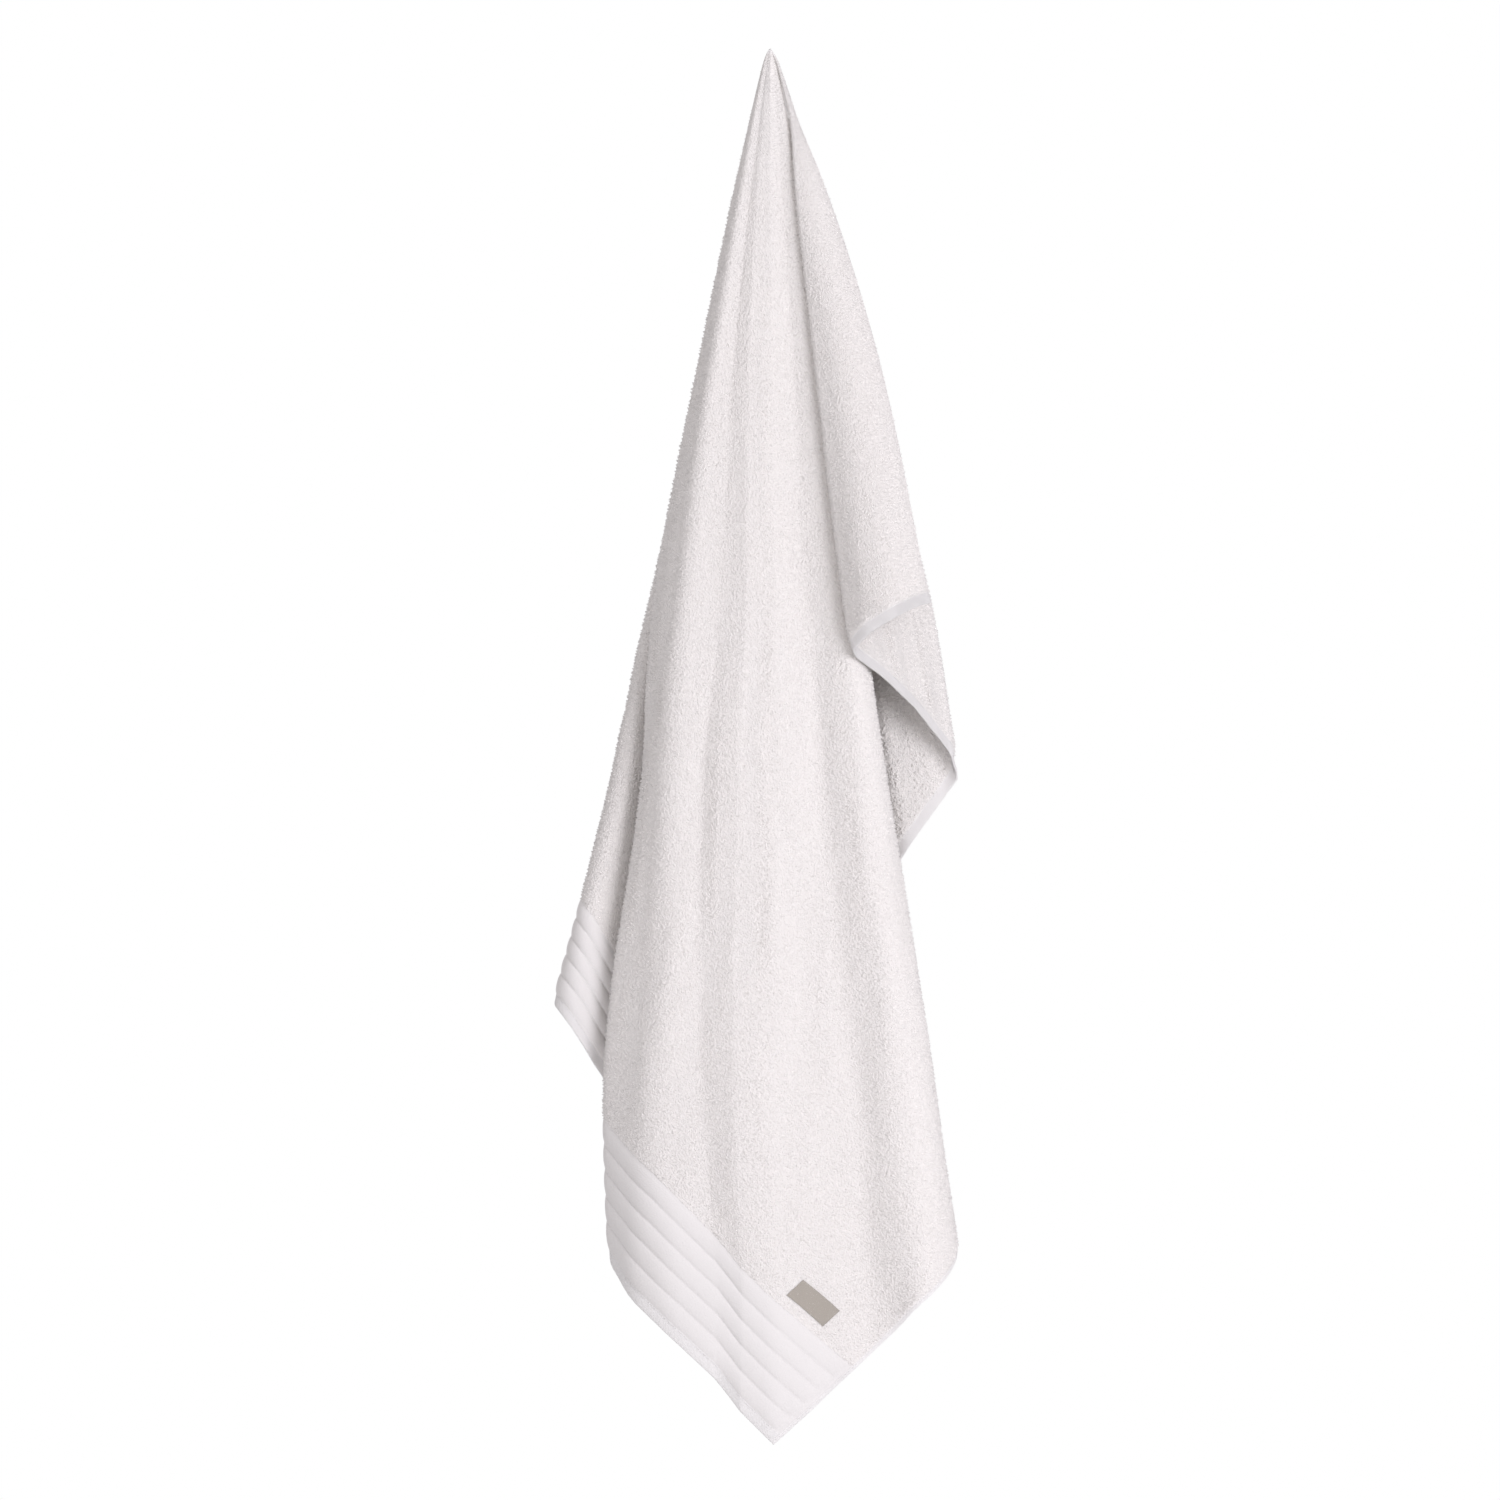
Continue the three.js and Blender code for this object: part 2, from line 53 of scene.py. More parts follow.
# The cloth's make
TERRY_THICKNESS = 4.0
HEM_THICKNESS = 2.4
HEM_WIDTH = 10.5
SIDE_HEM_WIDTH = 3.5
RIB_COUNT = 5
RIB_PITCH = 17.4
RIB_CREST_THICKNESS = 6.6
RIB_GROOVE_THICKNESS = 2.6
RIB_END_MARGIN = 5
RIB_END_ROUNDING = 6
RIBBED_BAND = HEM_WIDTH + RIB_COUNT * RIB_PITCH
# A rib's face rises over this share of its pitch, and its ends over this length.
RIB_RISE = 0.36
RIB_END_SLOPE = 5
# The hems' outer edge is thinner, over a small width.
EDGE_THINNING = 1.1
EDGE_ROUNDING = 1.6
# In the gather the cloth is pressed thin, and it shows no hem.
TIP_THICKNESS = 0.9
THICKNESS_GAIN = 0.022
NO_HEM_BEFORE = 60

# Near the hook the folds are pressed tight, and the cloth comes together in a point.
TIP_FOLD_RADIUS = 0.8
TIP_EASE = 9.0
TIP_TOP = 1.0
TIP_DROP = 4.0
TIP_DROP_DEPTH = 30.0

# The label, by its place on the flat cloth
LABEL = dict(
    length=42,
    height=20,
    thickness=0.9,
    from_side_hem=47,
    from_ribbed_end=108,
    gap=0.5,
    bow=0.7,
    soft_edge=1.2,
    rim_share=0.45,
    pucker=0.12,
    puckers_across=19,
    puckers_down=7,
    columns=49,
    rows=23,
)

# Bearings are degrees around the hook on the flat cloth, from the edge that runs to the ribbed end.
RIBBED_CORNER = math.degrees(math.atan(CLOTH_WIDTH / RIBBED_END_FROM_HOOK))
PLAIN_CORNER = 180 - math.degrees(math.atan(CLOTH_WIDTH / PLAIN_END_FROM_HOOK))
FULL_TURN = 180

# The folds, as in the solid. turn is the way that the cloth turns there, and tip the way that the
# fold points. spread is its place in the gather, and slack the cloth taken up. bearing is that of the
# cloth that the fold runs through. radius, side and depth are its rounding and its tip's place for each
# metre down from the hook. side and depth are given at each of the levels, and the others once or at
# each level.
LEVELS = np.array([60, 120, 250, 500, 700, 950, 1150], float)
LEFT = (-1, 0)
RIGHT = (1, 0)
FRONT = (0, -1)
BACK = (0, 1)
FOLDS = [
    dict(name="hidden selvedge", turn=0, tip=BACK, spread=(1, 7.5), slack=15,
         bearing=0, radius=0,
         side=[20, 20, 22, 24, 25, 26, 26],
         depth=[222, 222, 222, 222, 220, 216, 215]),
    dict(name="back wave", turn=-1, tip=FRONT, spread=(-1, 5.2), slack=28,
         bearing=[2.9, 2.9, 2.9, 4, 6, 6, 6], radius=35,
         side=[-75, -75, -75, -75, -75, -75, -75],
         depth=[192, 192, 192, 192, 190, 187, 186]),
    dict(name="back left bend", turn=1, tip=(-0.7, 0.7), spread=(-3.5, 5), slack=45,
         bearing=[7.6, 7.6, 7.6, 8.1, 11, 11, 11], radius=34,
         side=[-158, -158, -160, -163, -167, -171, -172],
         depth=[206, 206, 204, 198, 190, 182, 180]),
    dict(name="left outline", turn=1, tip=LEFT, spread=(-4.5, 2.6), slack=88,
         bearing=[13.6, 13.6, 13.8, 15.1, 20, 20, 20], radius=[14, 14, 14, 15, 15, 18, 18],
         side=[-199, -203, -205, -208, -212, -225, -234],
         depth=[107, 107, 106, 84, 36, 26, 26]),
    dict(name="left valley", turn=-1, tip=(0.6, 0.8), spread=(-2, 2.6), slack=22,
         bearing=[19.5, 19.5, 19.8, 21.4, 27.4, 28.4, 28.4], radius=12,
         side=[-116, -114, -110, -106, -106, -98, -96],
         depth=[156, 156, 152, 124, 62, 42, 38]),
    dict(name="front left", turn=1, tip=LEFT, spread=(-4.8, -0.6), slack=16,
         bearing=[29.5, 29.5, 29.4, 29.6, 32.2, 34.1, 35.4], radius=[13, 13, 13, 13, 12, 11, 11],
         side=[-214, -212, -210, -204, -166, -158, -127],
         depth=[10, 12, 15, 28, 4, 2, 4]),
    dict(name="left shoulder", turn=1, tip=(-0.5, -0.87), spread=(-3.9, -2.6), slack=11,
         bearing=[33.3, 33.3, 33.3, 34.3, 35.4, 37.2, 38.1], radius=[24, 26, 30, 36, 34, 48, 60],
         side=[-175, -175, -172, -152, -134, -117, -96],
         depth=[-41, -41, -41, -40, -39, -36, -34]),
    dict(name="left trough", turn=-1, tip=BACK, spread=(-2, -3), slack=6,
         bearing=[36.3, 36.3, 36.6, 37.7, 38, 39.9, 41], radius=[36, 36, 36, 34, 28, 28, 32],
         side=[-124, -124, -114, -92, -88, -68, -44],
         depth=[-38, -38, -38, -38, -39, -41, -43]),
    dict(name="left ridge", turn=1, tip=FRONT, spread=(-0.8, -3.6), slack=2,
         bearing=[39.4, 39.4, 39.7, 40.8, 40.9, 41.8, 42.4], radius=[36, 36, 36, 34, 28, 28, 32],
         side=[-72, -72, -62, -40, -40, -32, -18],
         depth=[-50, -50, -50, -50, -49, -48, -46]),
    dict(name="middle ridge", turn=1, tip=(0.2, -0.98), spread=(0.5, -4), slack=0,
         bearing=RIBBED_CORNER, radius=60,
         side=[4, 4, 8, 12, 11, 10, 10],
         depth=[-43, -43, -43, -43, -43, -45, -45]),
    dict(name="right trough", turn=-1, tip=BACK, spread=(3, -3), slack=0,
         bearing=[47.3, 47.3, 47.1, 46.8, 47, 48, 48], radius=40,
         side=[66, 66, 66, 63, 65, 80, 80],
         depth=[-34, -34, -34, -34, -33, -33, -34]),
    dict(name="front right", turn=1, tip=RIGHT, spread=(5, -2), slack=0,
         bearing=[54.5, 52.7, 52.4, 52.2, 52.2, 52.2, 52.2], radius=30,
         side=[190, 160, 152, 152, 151, 151, 151],
         depth=[-16, -16, -16, -16, -16, -15, -15]),
    dict(name="inner left", turn=-1, tip=LEFT, spread=(-0.8, -0.2), slack=10,
         bearing=69, radius=13,
         side=[-78, -78, -78, -80, -84, -84, -84],
         depth=[12, 12, 12, 12, 10, 8, 8]),
    dict(name="first back ridge", turn=-1, tip=BACK, spread=(-0.4, 3.2), slack=20,
         bearing=83, radius=13,
         side=[-56, -56, -56, -58, -64, -67, -68],
         depth=[168, 168, 168, 170, 172, 174, 175]),
    dict(name="first back valley", turn=1, tip=FRONT, spread=(0.3, 0.8), slack=14,
         bearing=95, radius=13,
         side=[-24, -24, -24, -24, -24, -24, -24],
         depth=[44, 44, 44, 42, 40, 40, 40]),
    dict(name="second back ridge", turn=-1, tip=BACK, spread=(1.6, 4), slack=10,
         bearing=108.5, radius=13,
         side=[26, 26, 26, 27, 28, 30, 30],
         depth=[190, 190, 190, 190, 190, 187, 186]),
    dict(name="second back valley", turn=1, tip=FRONT, spread=(2.9, 0.8), slack=10,
         bearing=PLAIN_CORNER, radius=13,
         side=[74, 74, 74, 74, 75, 76, 76],
         depth=[50, 50, 50, 46, 44, 41, 40]),
    dict(name="third back ridge", turn=-1, tip=BACK, spread=(4.2, 3.8), slack=14,
         bearing=130, radius=16,
         side=[130, 130, 130, 126, 120, 120, 120],
         depth=[165, 165, 165, 160, 140, 136, 135]),
    dict(name="side bend", turn=1, tip=(-0.5, -0.87), spread=(5.0, 1.6), slack=20,
         bearing=135.5, radius=22,
         side=[172, 172, 172, 170, 158, 158, 158],
         depth=[112, 112, 108, 88, 66, 62, 62]),
    dict(name="right outline", turn=-1, tip=RIGHT, spread=(4.6, 1), slack=22,
         bearing=140.6, radius=20,
         side=[250, 262, 265, 282, 252, 242, 240],
         depth=[62, 62, 62, 58, 52, 50, 50]),
    dict(name="flap fold", turn=1, tip=LEFT, spread=(5.6, -4.5), slack=22,
         bearing=161.5, radius=[12, 14, 15, 15, 16, 16, 16],
         side=[236, 160, 134, 126, 136, 139, 140],
         depth=[-90, -84, -72, -70, -68, -66, -66]),
    dict(name="flap shoulder", turn=1, tip=FRONT, spread=(5.6, -4.5), slack=22,
         bearing=171, radius=[50, 144, 118, 84, 71, 69, 69],
         side=[244, 206, 229, 208, 208, 210, 210],
         depth=[-112, -104, -116, -122, -118, -115, -115]),
    dict(name="outer selvedge", turn=0, tip=RIGHT, spread=(5.6, -1), slack=22,
         bearing=FULL_TURN, radius=0,
         side=[310, 362, 348, 284, 272, 272, 272],
         depth=[-104, -12, -47, -84, -85, -82, -81]),
]
# The distance from the hook at which the mesh's steps are measured
REFERENCE_LEVEL = 1000.0

# Small waves across the cloth: height, width in degrees, and how they wander with the drop
RIPPLES = [
    dict(height=1.3, width=5.3, phase=0.3, wander=0.9, every=610, shift=1.1),
    dict(height=0.5, width=3.1, phase=2.1, wander=1.3, every=390, shift=0.2),
    dict(height=0.25, width=1.9, phase=4.0, wander=1.6, every=270, shift=2.6),
]
RIPPLE_TWIST = 0.07
# The waves start near the hook, are full further down, and are smaller on the flap.
RIPPLE_START = 40
RIPPLE_FULL = 900
FLAP_BEARING = 160
FLAP_EASE = 6
FLAP_CALM = 0.8
# Ruffles along the hems: height, length and phase
RUFFLES = [
    dict(height=0.9, length=71, phase=0.4),
    dict(height=0.6, length=43, phase=1.9),
]
RUFFLE_DEPTH = 40.0

# The steps from which the way that the surface faces is worked out
STEP_ACROSS = 0.6
STEP_DOWN = 0.5

# The slacks are smoothed over this many steps of this many degrees.
SLACK_WINDOW = 45
SLACK_STEP = 0.1

# The mesh's columns: their steps around and between the folds, at the reference level
ARC_STEP = 7.5
RUN_STEP = 16.0
ARC_STEPS_LEAST = 3
RUN_STEPS_LEAST = 2
RIB_END_FINER = 3
# Columns along each selvedge, by their distance from it, within the first and last degrees
SELVEDGE_STEPS = [0, 0.8, 2.6, 5.5, 8.6, 10.2, 11.8, 14.5, 20]
SELVEDGE_TURN = 2.2
SELVEDGE_GAP = 0.1
SELVEDGE_CLEAR = 0.3

# The mesh's rows: from the hook, then down to the ribs, by shares of a rib, and across the hem
TIP_ROWS = [0.6, 2.5, 5, 8, 12, 17, 23, 30, 38]
FIRST_UPPER_STEP = 6
UPPER_ROWS = 72
UPPER_ROW_POWER = 1.15
ABOVE_RIB_ROWS = [7, 2.5, 0.8]
RIB_ROWS = [0.94, 0.84, 0.7, 0.5, 0.3, 0.16, 0.06, 0]
HEM_ROWS = [9.8, 8.2, 5, 2, 0.7, 0]
# Past the ribbed end, the ribs' rows are squeezed together inside the other hems.
RIB_BEARINGS_END = 50
SQUEEZED_ROW = 0.35
SQUEEZED_SIDE_ROW = 0.16
SQUEEZED_MARGIN = 0.2
GRID_ROUNDS = 6

# The terry's loops, face by face and from bearing to bearing. They stand closer where the cloth is seen
# from the front. side is 1 on the label's face and -1 on the other, and size scales a loop.
LOOP_PATCHES = [
    dict(name="front_loops", side=1, first=13, last=54, spacing=2.45, size=1.0),
    dict(name="flap_loops", side=1, first=158, last=180, spacing=2.45, size=1.0),
    dict(name="side_loops", side=-1, first=128, last=164, spacing=3.2, size=1.0),
    dict(name="left_back_loops", side=1, first=0, last=13, spacing=4.4, size=1.5),
    dict(name="inner_loops", side=1, first=54, last=158, spacing=4.4, size=1.5),
    dict(name="hidden_loops", side=-1, first=0, last=54, spacing=4.4, size=1.5),
    dict(name="back_loops", side=-1, first=54, last=128, spacing=4.4, size=1.5),
    dict(name="flap_back_loops", side=-1, first=164, last=180, spacing=4.4, size=1.5),
]
LOOP_WIDTH = 1.5
LOOP_LENGTH = 3.0
LOOP_HEIGHT = 1.75
LOOP_LEAN = 1.4
LOOP_ROOT = 0.35
# Each loop's own length, width and height are a share of these, drawn between two bounds.
LOOP_LENGTH_SHARES = (0.6, 1.2)
LOOP_WIDTH_SHARES = (0.7, 1.2)
LOOP_HEIGHT_SHARES = (0.5, 1.2)
LOOP_SCATTER = 0.5
LOOP_HELPER = np.array([0.3, 0.2, 1.0])
# Near the hook the loops are smaller.
LOOPS_START = 12.0
LOOPS_FULL = 160
SMALLEST_LOOP = 0.4
LOOPS_FROM_HEM = 1.5
LOOPS_FROM_RIBS = 2.0

# The hems' stitches
STITCH_PITCH = 4.0
STITCH_LENGTH = 2.9
STITCH_INSIDE = 1.2
STITCHES_START = 60.0
STITCH_MARGIN = 4.0
THREAD = 0.35
# A stitch's faces, by its corners: its two ends, then four around its middle
THREAD_FACES = [(2 + (i + 1) % 4, 2 + i, 0) for i in range(4)]
THREAD_FACES += [(1, 2 + i, 2 + (i + 1) % 4) for i in range(4)]

random = np.random.default_rng(20)


def smoothstep(x, low, high):
    """The smooth step from 0 at low to 1 at high."""
    t = np.clip((x - low) / (high - low), 0, 1)
    return t * t * (3 - 2 * t)


# The drape


def at_level(values, distance):
    """A smooth value between the levels, from its values at them."""
    values = np.asarray(values, float)
    d = np.clip(distance, LEVELS[0], LEVELS[-1])
    i = np.clip(np.searchsorted(LEVELS, d, side="right") - 1, 0, len(LEVELS) - 2)
    before = np.maximum(np.arange(len(LEVELS)) - 1, 0)
    after = np.minimum(np.arange(len(LEVELS)) + 1, len(LEVELS) - 1)
    slopes = (values[after] - values[before]) / (LEVELS[after] - LEVELS[before])
    span = LEVELS[i + 1] - LEVELS[i]
    t = (d - LEVELS[i]) / span
    rise = values[i + 1] - values[i]
    a = slopes[i] * span - rise
    b = rise - slopes[i + 1] * span
    return values[i] + rise * t + t * (1 - t) * (a * (1 - t) + b * t)


def wheel_at(fold, distance):
    """A fold's rounding as a wheel in the plan: x, y and radius for each millimetre of drop."""
    eased = (1 - np.exp(-distance / TIP_EASE)) / distance
    radius = np.zeros_like(distance)
    if fold["turn"]:
        rounding = at_level(np.broadcast_to(fold["radius"], LEVELS.shape), distance)
        radius = rounding / 1000 + TIP_FOLD_RADIUS * eased
    tip_x = at_level(fold["side"], distance) / 1000 + fold["spread"][0] * eased
    tip_y = at_level(fold["depth"], distance) / 1000 + fold["spread"][1] * eased
    return tip_x - radius * fold["tip"][0], tip_y - radius * fold["tip"][1], radius


def heading_between(start, start_turn, end, end_turn):
    """The heading of the straight run of cloth that leaves one wheel and meets the next."""
    x, y = end[0] - start[0], end[1] - start[1]
    offset = end_turn * end[2] - start_turn * start[2]
    length = np.sqrt(np.maximum(x * x + y * y - offset * offset, 1e-12))
    return np.arctan2(y, x) - np.arctan2(offset, length)


def wheel_point(wheel, turn, heading):
    """The point of a wheel where the cloth has a heading."""
    reach = turn * wheel[2]
    return wheel[0] + reach * np.sin(heading), wheel[1] - reach * np.cos(heading)


def fold_bearing(k, distance):
    """The bearing of the cloth that fold k runs through at a distance."""
    values = FOLDS[k]["bearing"]
    if isinstance(values, list):
        return at_level(values, distance)
    return np.full(np.shape(distance), float(values))


def run_between(k, distance):
    """The straight run of cloth from fold k to the next: its heading, start and end."""
    fold, following = FOLDS[k], FOLDS[k + 1]
    wheel, next_wheel = wheel_at(fold, distance), wheel_at(following, distance)
    heading = heading_between(wheel, fold["turn"], next_wheel, following["turn"])
    start = wheel_point(wheel, fold["turn"], heading)
    end = wheel_point(next_wheel, following["turn"], heading)
    return heading, start, end


def half_wrap(k, distance):
    """Half the angle that the cloth turns through at fold k."""
    if FOLDS[k]["turn"] == 0:
        return np.zeros_like(distance)
    came, goes = run_between(k - 1, distance)[0], run_between(k, distance)[0]
    return np.mod(FOLDS[k]["turn"] * (goes - came), 2 * np.pi) / 2


def stretch_lengths(k, distance):
    """From the middle of fold k to the middle of the next: half a fold, a run and half a fold."""
    heading, start, end = run_between(k, distance)
    lead = wheel_at(FOLDS[k], distance)[2] * half_wrap(k, distance)
    tail = wheel_at(FOLDS[k + 1], distance)[2] * half_wrap(k + 1, distance)
    return lead, np.hypot(end[0] - start[0], end[1] - start[1]), tail


def plan_point(bearing, distance):
    """The plan's point at a bearing, with the cloth shared out evenly from fold to fold.

    Known flaw: a bearing of exactly FULL_TURN is in no stretch, so its point stays on the hook's axis.
    It draws the sheet's outermost column in to the axis, as a hidden web inside the folds.
    """
    bearing, distance = np.broadcast_arrays(np.asarray(bearing, float), np.asarray(distance, float))
    x, y = np.zeros_like(distance), np.zeros_like(distance)
    for k in range(len(FOLDS) - 1):
        low, high = fold_bearing(k, distance), fold_bearing(k + 1, distance)
        pick = (bearing >= low) & (bearing < high)
        if not pick.any():
            continue
        d = distance[pick]
        share = (bearing[pick] - low[pick]) / (high[pick] - low[pick])
        heading, start, end = run_between(k, d)
        lead, run, tail = stretch_lengths(k, d)
        along = share * (lead + run + tail)
        on_run = np.clip((along - lead) / np.maximum(run, 1e-9), 0, 1)
        before = np.clip(1 - along / np.maximum(lead, 1e-9), 0, 1) * half_wrap(k, d)
        after = np.clip((along - lead - run) / np.maximum(tail, 1e-9), 0, 1) * half_wrap(k + 1, d)
        turn, next_turn = FOLDS[k]["turn"], FOLDS[k + 1]["turn"]
        leaving = wheel_point(wheel_at(FOLDS[k], d), turn, heading - turn * before)
        entering = wheel_point(wheel_at(FOLDS[k + 1], d), next_turn, heading + next_turn * after)
        at_first, at_last = along < lead, along > lead + run
        for i, values in enumerate((x, y)):
            straight = start[i] + (end[i] - start[i]) * on_run
            values[pick] = np.where(at_first, leaving[i], np.where(at_last, entering[i], straight))
    return x, y


def bearing_of(k, part, share, distance):
    """The bearing of a spot on the lead (0), run (1) or tail (2) of the stretch after fold k."""
    lengths = stretch_lengths(k, np.asarray(distance, float))
    along = sum(lengths[:part]) + lengths[part] * share
    low, high = fold_bearing(k, distance), fold_bearing(k + 1, distance)
    return low + (high - low) * along / sum(lengths)


def smooth_slacks():
    """The folds' slacks, interpolated at even bearings and then smoothed."""
    lowest = np.array([np.atleast_1d(fold["bearing"])[-1] for fold in FOLDS], float)
    slacks = np.interp(EVEN_BEARINGS, lowest, [fold["slack"] for fold in FOLDS])
    window = np.hanning(SLACK_WINDOW)
    padded = np.pad(slacks, SLACK_WINDOW // 2, mode="edge")
    return np.convolve(padded, window / window.sum(), mode="valid")


EVEN_BEARINGS = np.arange(0, FULL_TURN + SLACK_STEP, SLACK_STEP)
EVEN_SLACKS = smooth_slacks()


def slack_of(bearing):
    """The cloth taken up at a bearing."""
    return np.interp(bearing, EVEN_BEARINGS, EVEN_SLACKS)


def reach_to(bearing, inside_end, inside_side):
    """The flat cloth's reach along a bearing, to a line inside its ends and its far side."""
    angle = np.radians(bearing)
    with np.errstate(divide="ignore", invalid="ignore"):
        ribbed = (RIBBED_END_FROM_HOOK - inside_end) / np.cos(angle)
        side = (CLOTH_WIDTH - inside_side) / np.maximum(np.sin(angle), 1e-9)
        plain = (inside_end - PLAIN_END_FROM_HOOK) / np.cos(angle)
    return np.where(bearing < 90, np.minimum(ribbed, side), np.minimum(plain, side))


def flat_place(bearing, distance):
    """Where a spot lies on the flat cloth: from the hook's edge and from the ribbed end."""
    slack = slack_of(bearing)
    reach = distance + slack * smoothstep(distance, 0, 2 * slack + 1)
    angle = np.radians(bearing)
    return reach * np.sin(angle), RIBBED_END_FROM_HOOK - reach * np.cos(angle)


def ripple_height(bearing, distance):
    """How far small waves push the cloth out of its plain folds, in millimetres."""
    from_hook_edge, from_ribbed_end = flat_place(bearing, distance)
    height = np.zeros(np.broadcast(bearing, distance).shape)
    for wave in RIPPLES:
        sway = 2 * np.pi * distance / wave["every"] + wave["shift"] + bearing * RIPPLE_TWIST
        wandering = wave["wander"] * np.sin(sway)
        height += wave["height"] * np.sin(2 * np.pi * bearing / wave["width"] + wave["phase"] + wandering)
    on_flap = smoothstep(bearing, FLAP_BEARING - FLAP_EASE, FLAP_BEARING)
    height *= smoothstep(distance, RIPPLE_START, RIPPLE_FULL) * (1 - FLAP_CALM * on_flap)
    ends = np.minimum(from_ribbed_end, CLOTH_LENGTH - from_ribbed_end)
    edge = np.minimum(ends, CLOTH_WIDTH - from_hook_edge)
    along = from_hook_edge + from_ribbed_end
    ruffles = sum(r["height"] * np.sin(2 * np.pi * along / r["length"] + r["phase"]) for r in RUFFLES)
    return height + ruffles * (1 - smoothstep(edge, 0, RUFFLE_DEPTH))


def plain_point(bearing, distance):
    """A point of the cloth's middle surface with its folds alone, in millimetres."""
    x, y = plan_point(bearing, distance)
    length = np.sqrt(x * x + y * y + 1)
    drop = TIP_TOP + TIP_DROP * smoothstep(distance, 0, TIP_DROP_DEPTH)
    return np.stack([x * distance / length, y * distance / length, -distance / length - drop], axis=-1)


def unit(vectors):
    """Vectors scaled to length 1."""
    return vectors / np.maximum(np.linalg.norm(vectors, axis=-1, keepdims=True), 1e-12)


def facing(point_at, bearing, distance):
    """The direction that the label's face looks in, from small steps across and down a surface."""
    turn = np.degrees(STEP_ACROSS / np.maximum(distance, 5))
    right = point_at(np.minimum(bearing + turn, FULL_TURN), distance)
    across = right - point_at(np.maximum(bearing - turn, 0), distance)
    higher = point_at(bearing, np.maximum(distance - STEP_DOWN, 0.1))
    down = point_at(bearing, distance + STEP_DOWN) - higher
    return unit(np.cross(down, across))


def cloth_point(bearing, distance):
    """A point of the cloth's middle surface, with its small waves."""
    bearing, distance = np.broadcast_arrays(np.asarray(bearing, float), np.asarray(distance, float))
    outward = facing(plain_point, bearing, distance)
    return plain_point(bearing, distance) + outward * ripple_height(bearing, distance)[..., None]


def cloth_frame(bearing, distance):
    """A point of the middle surface with its direction out of the label's face."""
    bearing, distance = np.broadcast_arrays(np.asarray(bearing, float), np.asarray(distance, float))
    return cloth_point(bearing, distance), facing(cloth_point, bearing, distance)


def bearing_and_distance(from_hook_edge, from_ribbed_end):
    """The inverse of flat_place, well below the hook."""
    along = RIBBED_END_FROM_HOOK - from_ribbed_end
    bearing = np.degrees(np.arctan2(from_hook_edge, along))
    return bearing, np.hypot(from_hook_edge, along) - slack_of(bearing)


def thickness_at(from_hook_edge, from_ribbed_end, distance):
    """The cloth's thickness: terry, thinner hems, and padded ribs across the ribbed end."""
    from_side = CLOTH_WIDTH - from_hook_edge
    ends = np.minimum(from_ribbed_end, CLOTH_LENGTH - from_ribbed_end)
    sides = np.minimum(from_side, from_hook_edge)
    inside_ends = smoothstep(ends, HEM_WIDTH - 1, HEM_WIDTH + 3)
    inside_hems = inside_ends * smoothstep(sides, SIDE_HEM_WIDTH - 1, SIDE_HEM_WIDTH + 2)
    inside_hems = np.where(distance < NO_HEM_BEFORE, 1, inside_hems)
    thickness = HEM_THICKNESS + (TERRY_THICKNESS - HEM_THICKNESS) * inside_hems
    thickness = thickness - EDGE_THINNING * (1 - smoothstep(np.minimum(ends, sides), 0, EDGE_ROUNDING))
    ribs = (from_ribbed_end - HEM_WIDTH) / RIB_PITCH
    from_groove = np.abs(np.mod(ribs + 0.5, 1) - 0.5)
    rise = np.sqrt(np.clip(from_groove / RIB_RISE, 0, 1))
    padded = RIB_GROOVE_THICKNESS + (RIB_CREST_THICKNESS - RIB_GROOVE_THICKNESS) * rise
    bulge = RIB_END_ROUNDING * (1 - np.sqrt(np.clip(1 - (1 - from_groove / 0.5) ** 2, 0, 1)))
    rib_end = RIB_END_MARGIN + bulge
    rib_top = rib_end + RIB_END_SLOPE
    rounded_end = smoothstep(from_side, rib_end, rib_top) * smoothstep(from_hook_edge, rib_end, rib_top)
    padded = RIB_GROOVE_THICKNESS + (padded - RIB_GROOVE_THICKNESS) * rounded_end
    thickness = np.where((ribs > 0) & (ribs < RIB_COUNT), padded, thickness)
    return np.minimum(thickness, TIP_THICKNESS + THICKNESS_GAIN * distance)


# Meshes


def new_object(name, vertices, faces, smooth=True, corners=4):
    """A mesh object from arrays of points in metres and faces of equal size."""
    mesh = bpy.data.meshes.new(name)
    vertices = np.asarray(vertices, np.float32).reshape(-1, 3)
    faces = np.asarray(faces, np.int32).reshape(-1, corners)
    mesh.vertices.add(len(vertices))
    mesh.vertices.foreach_set("co", vertices.ravel())
    mesh.loops.add(faces.size)
    mesh.loops.foreach_set("vertex_index", faces.ravel())
    mesh.polygons.add(len(faces))
    mesh.polygons.foreach_set("loop_start", np.arange(0, faces.size, corners, dtype=np.int32))
    mesh.update(calc_edges=True)
    mesh.polygons.foreach_set("use_smooth", np.full(len(faces), smooth))
    mesh.update()
    made = bpy.data.objects.new(name, mesh)
    bpy.context.scene.collection.objects.link(made)
    return made


def set_uv(obj, uv):
    """Gives each corner of the mesh its vertex's flat place, in metres."""
    mesh = obj.data
    layer = mesh.uv_layers.new(name="flat")
    index = np.zeros(len(mesh.loops), np.int32)
    mesh.loops.foreach_get("vertex_index", index)
    layer.data.foreach_set("uv", np.asarray(uv, np.float32)[index].ravel())


def rim_quads(near, far):
    """The quads between two rows of vertex numbers."""
    return np.stack([near[:-1], far[:-1], far[1:], near[1:]], -1)


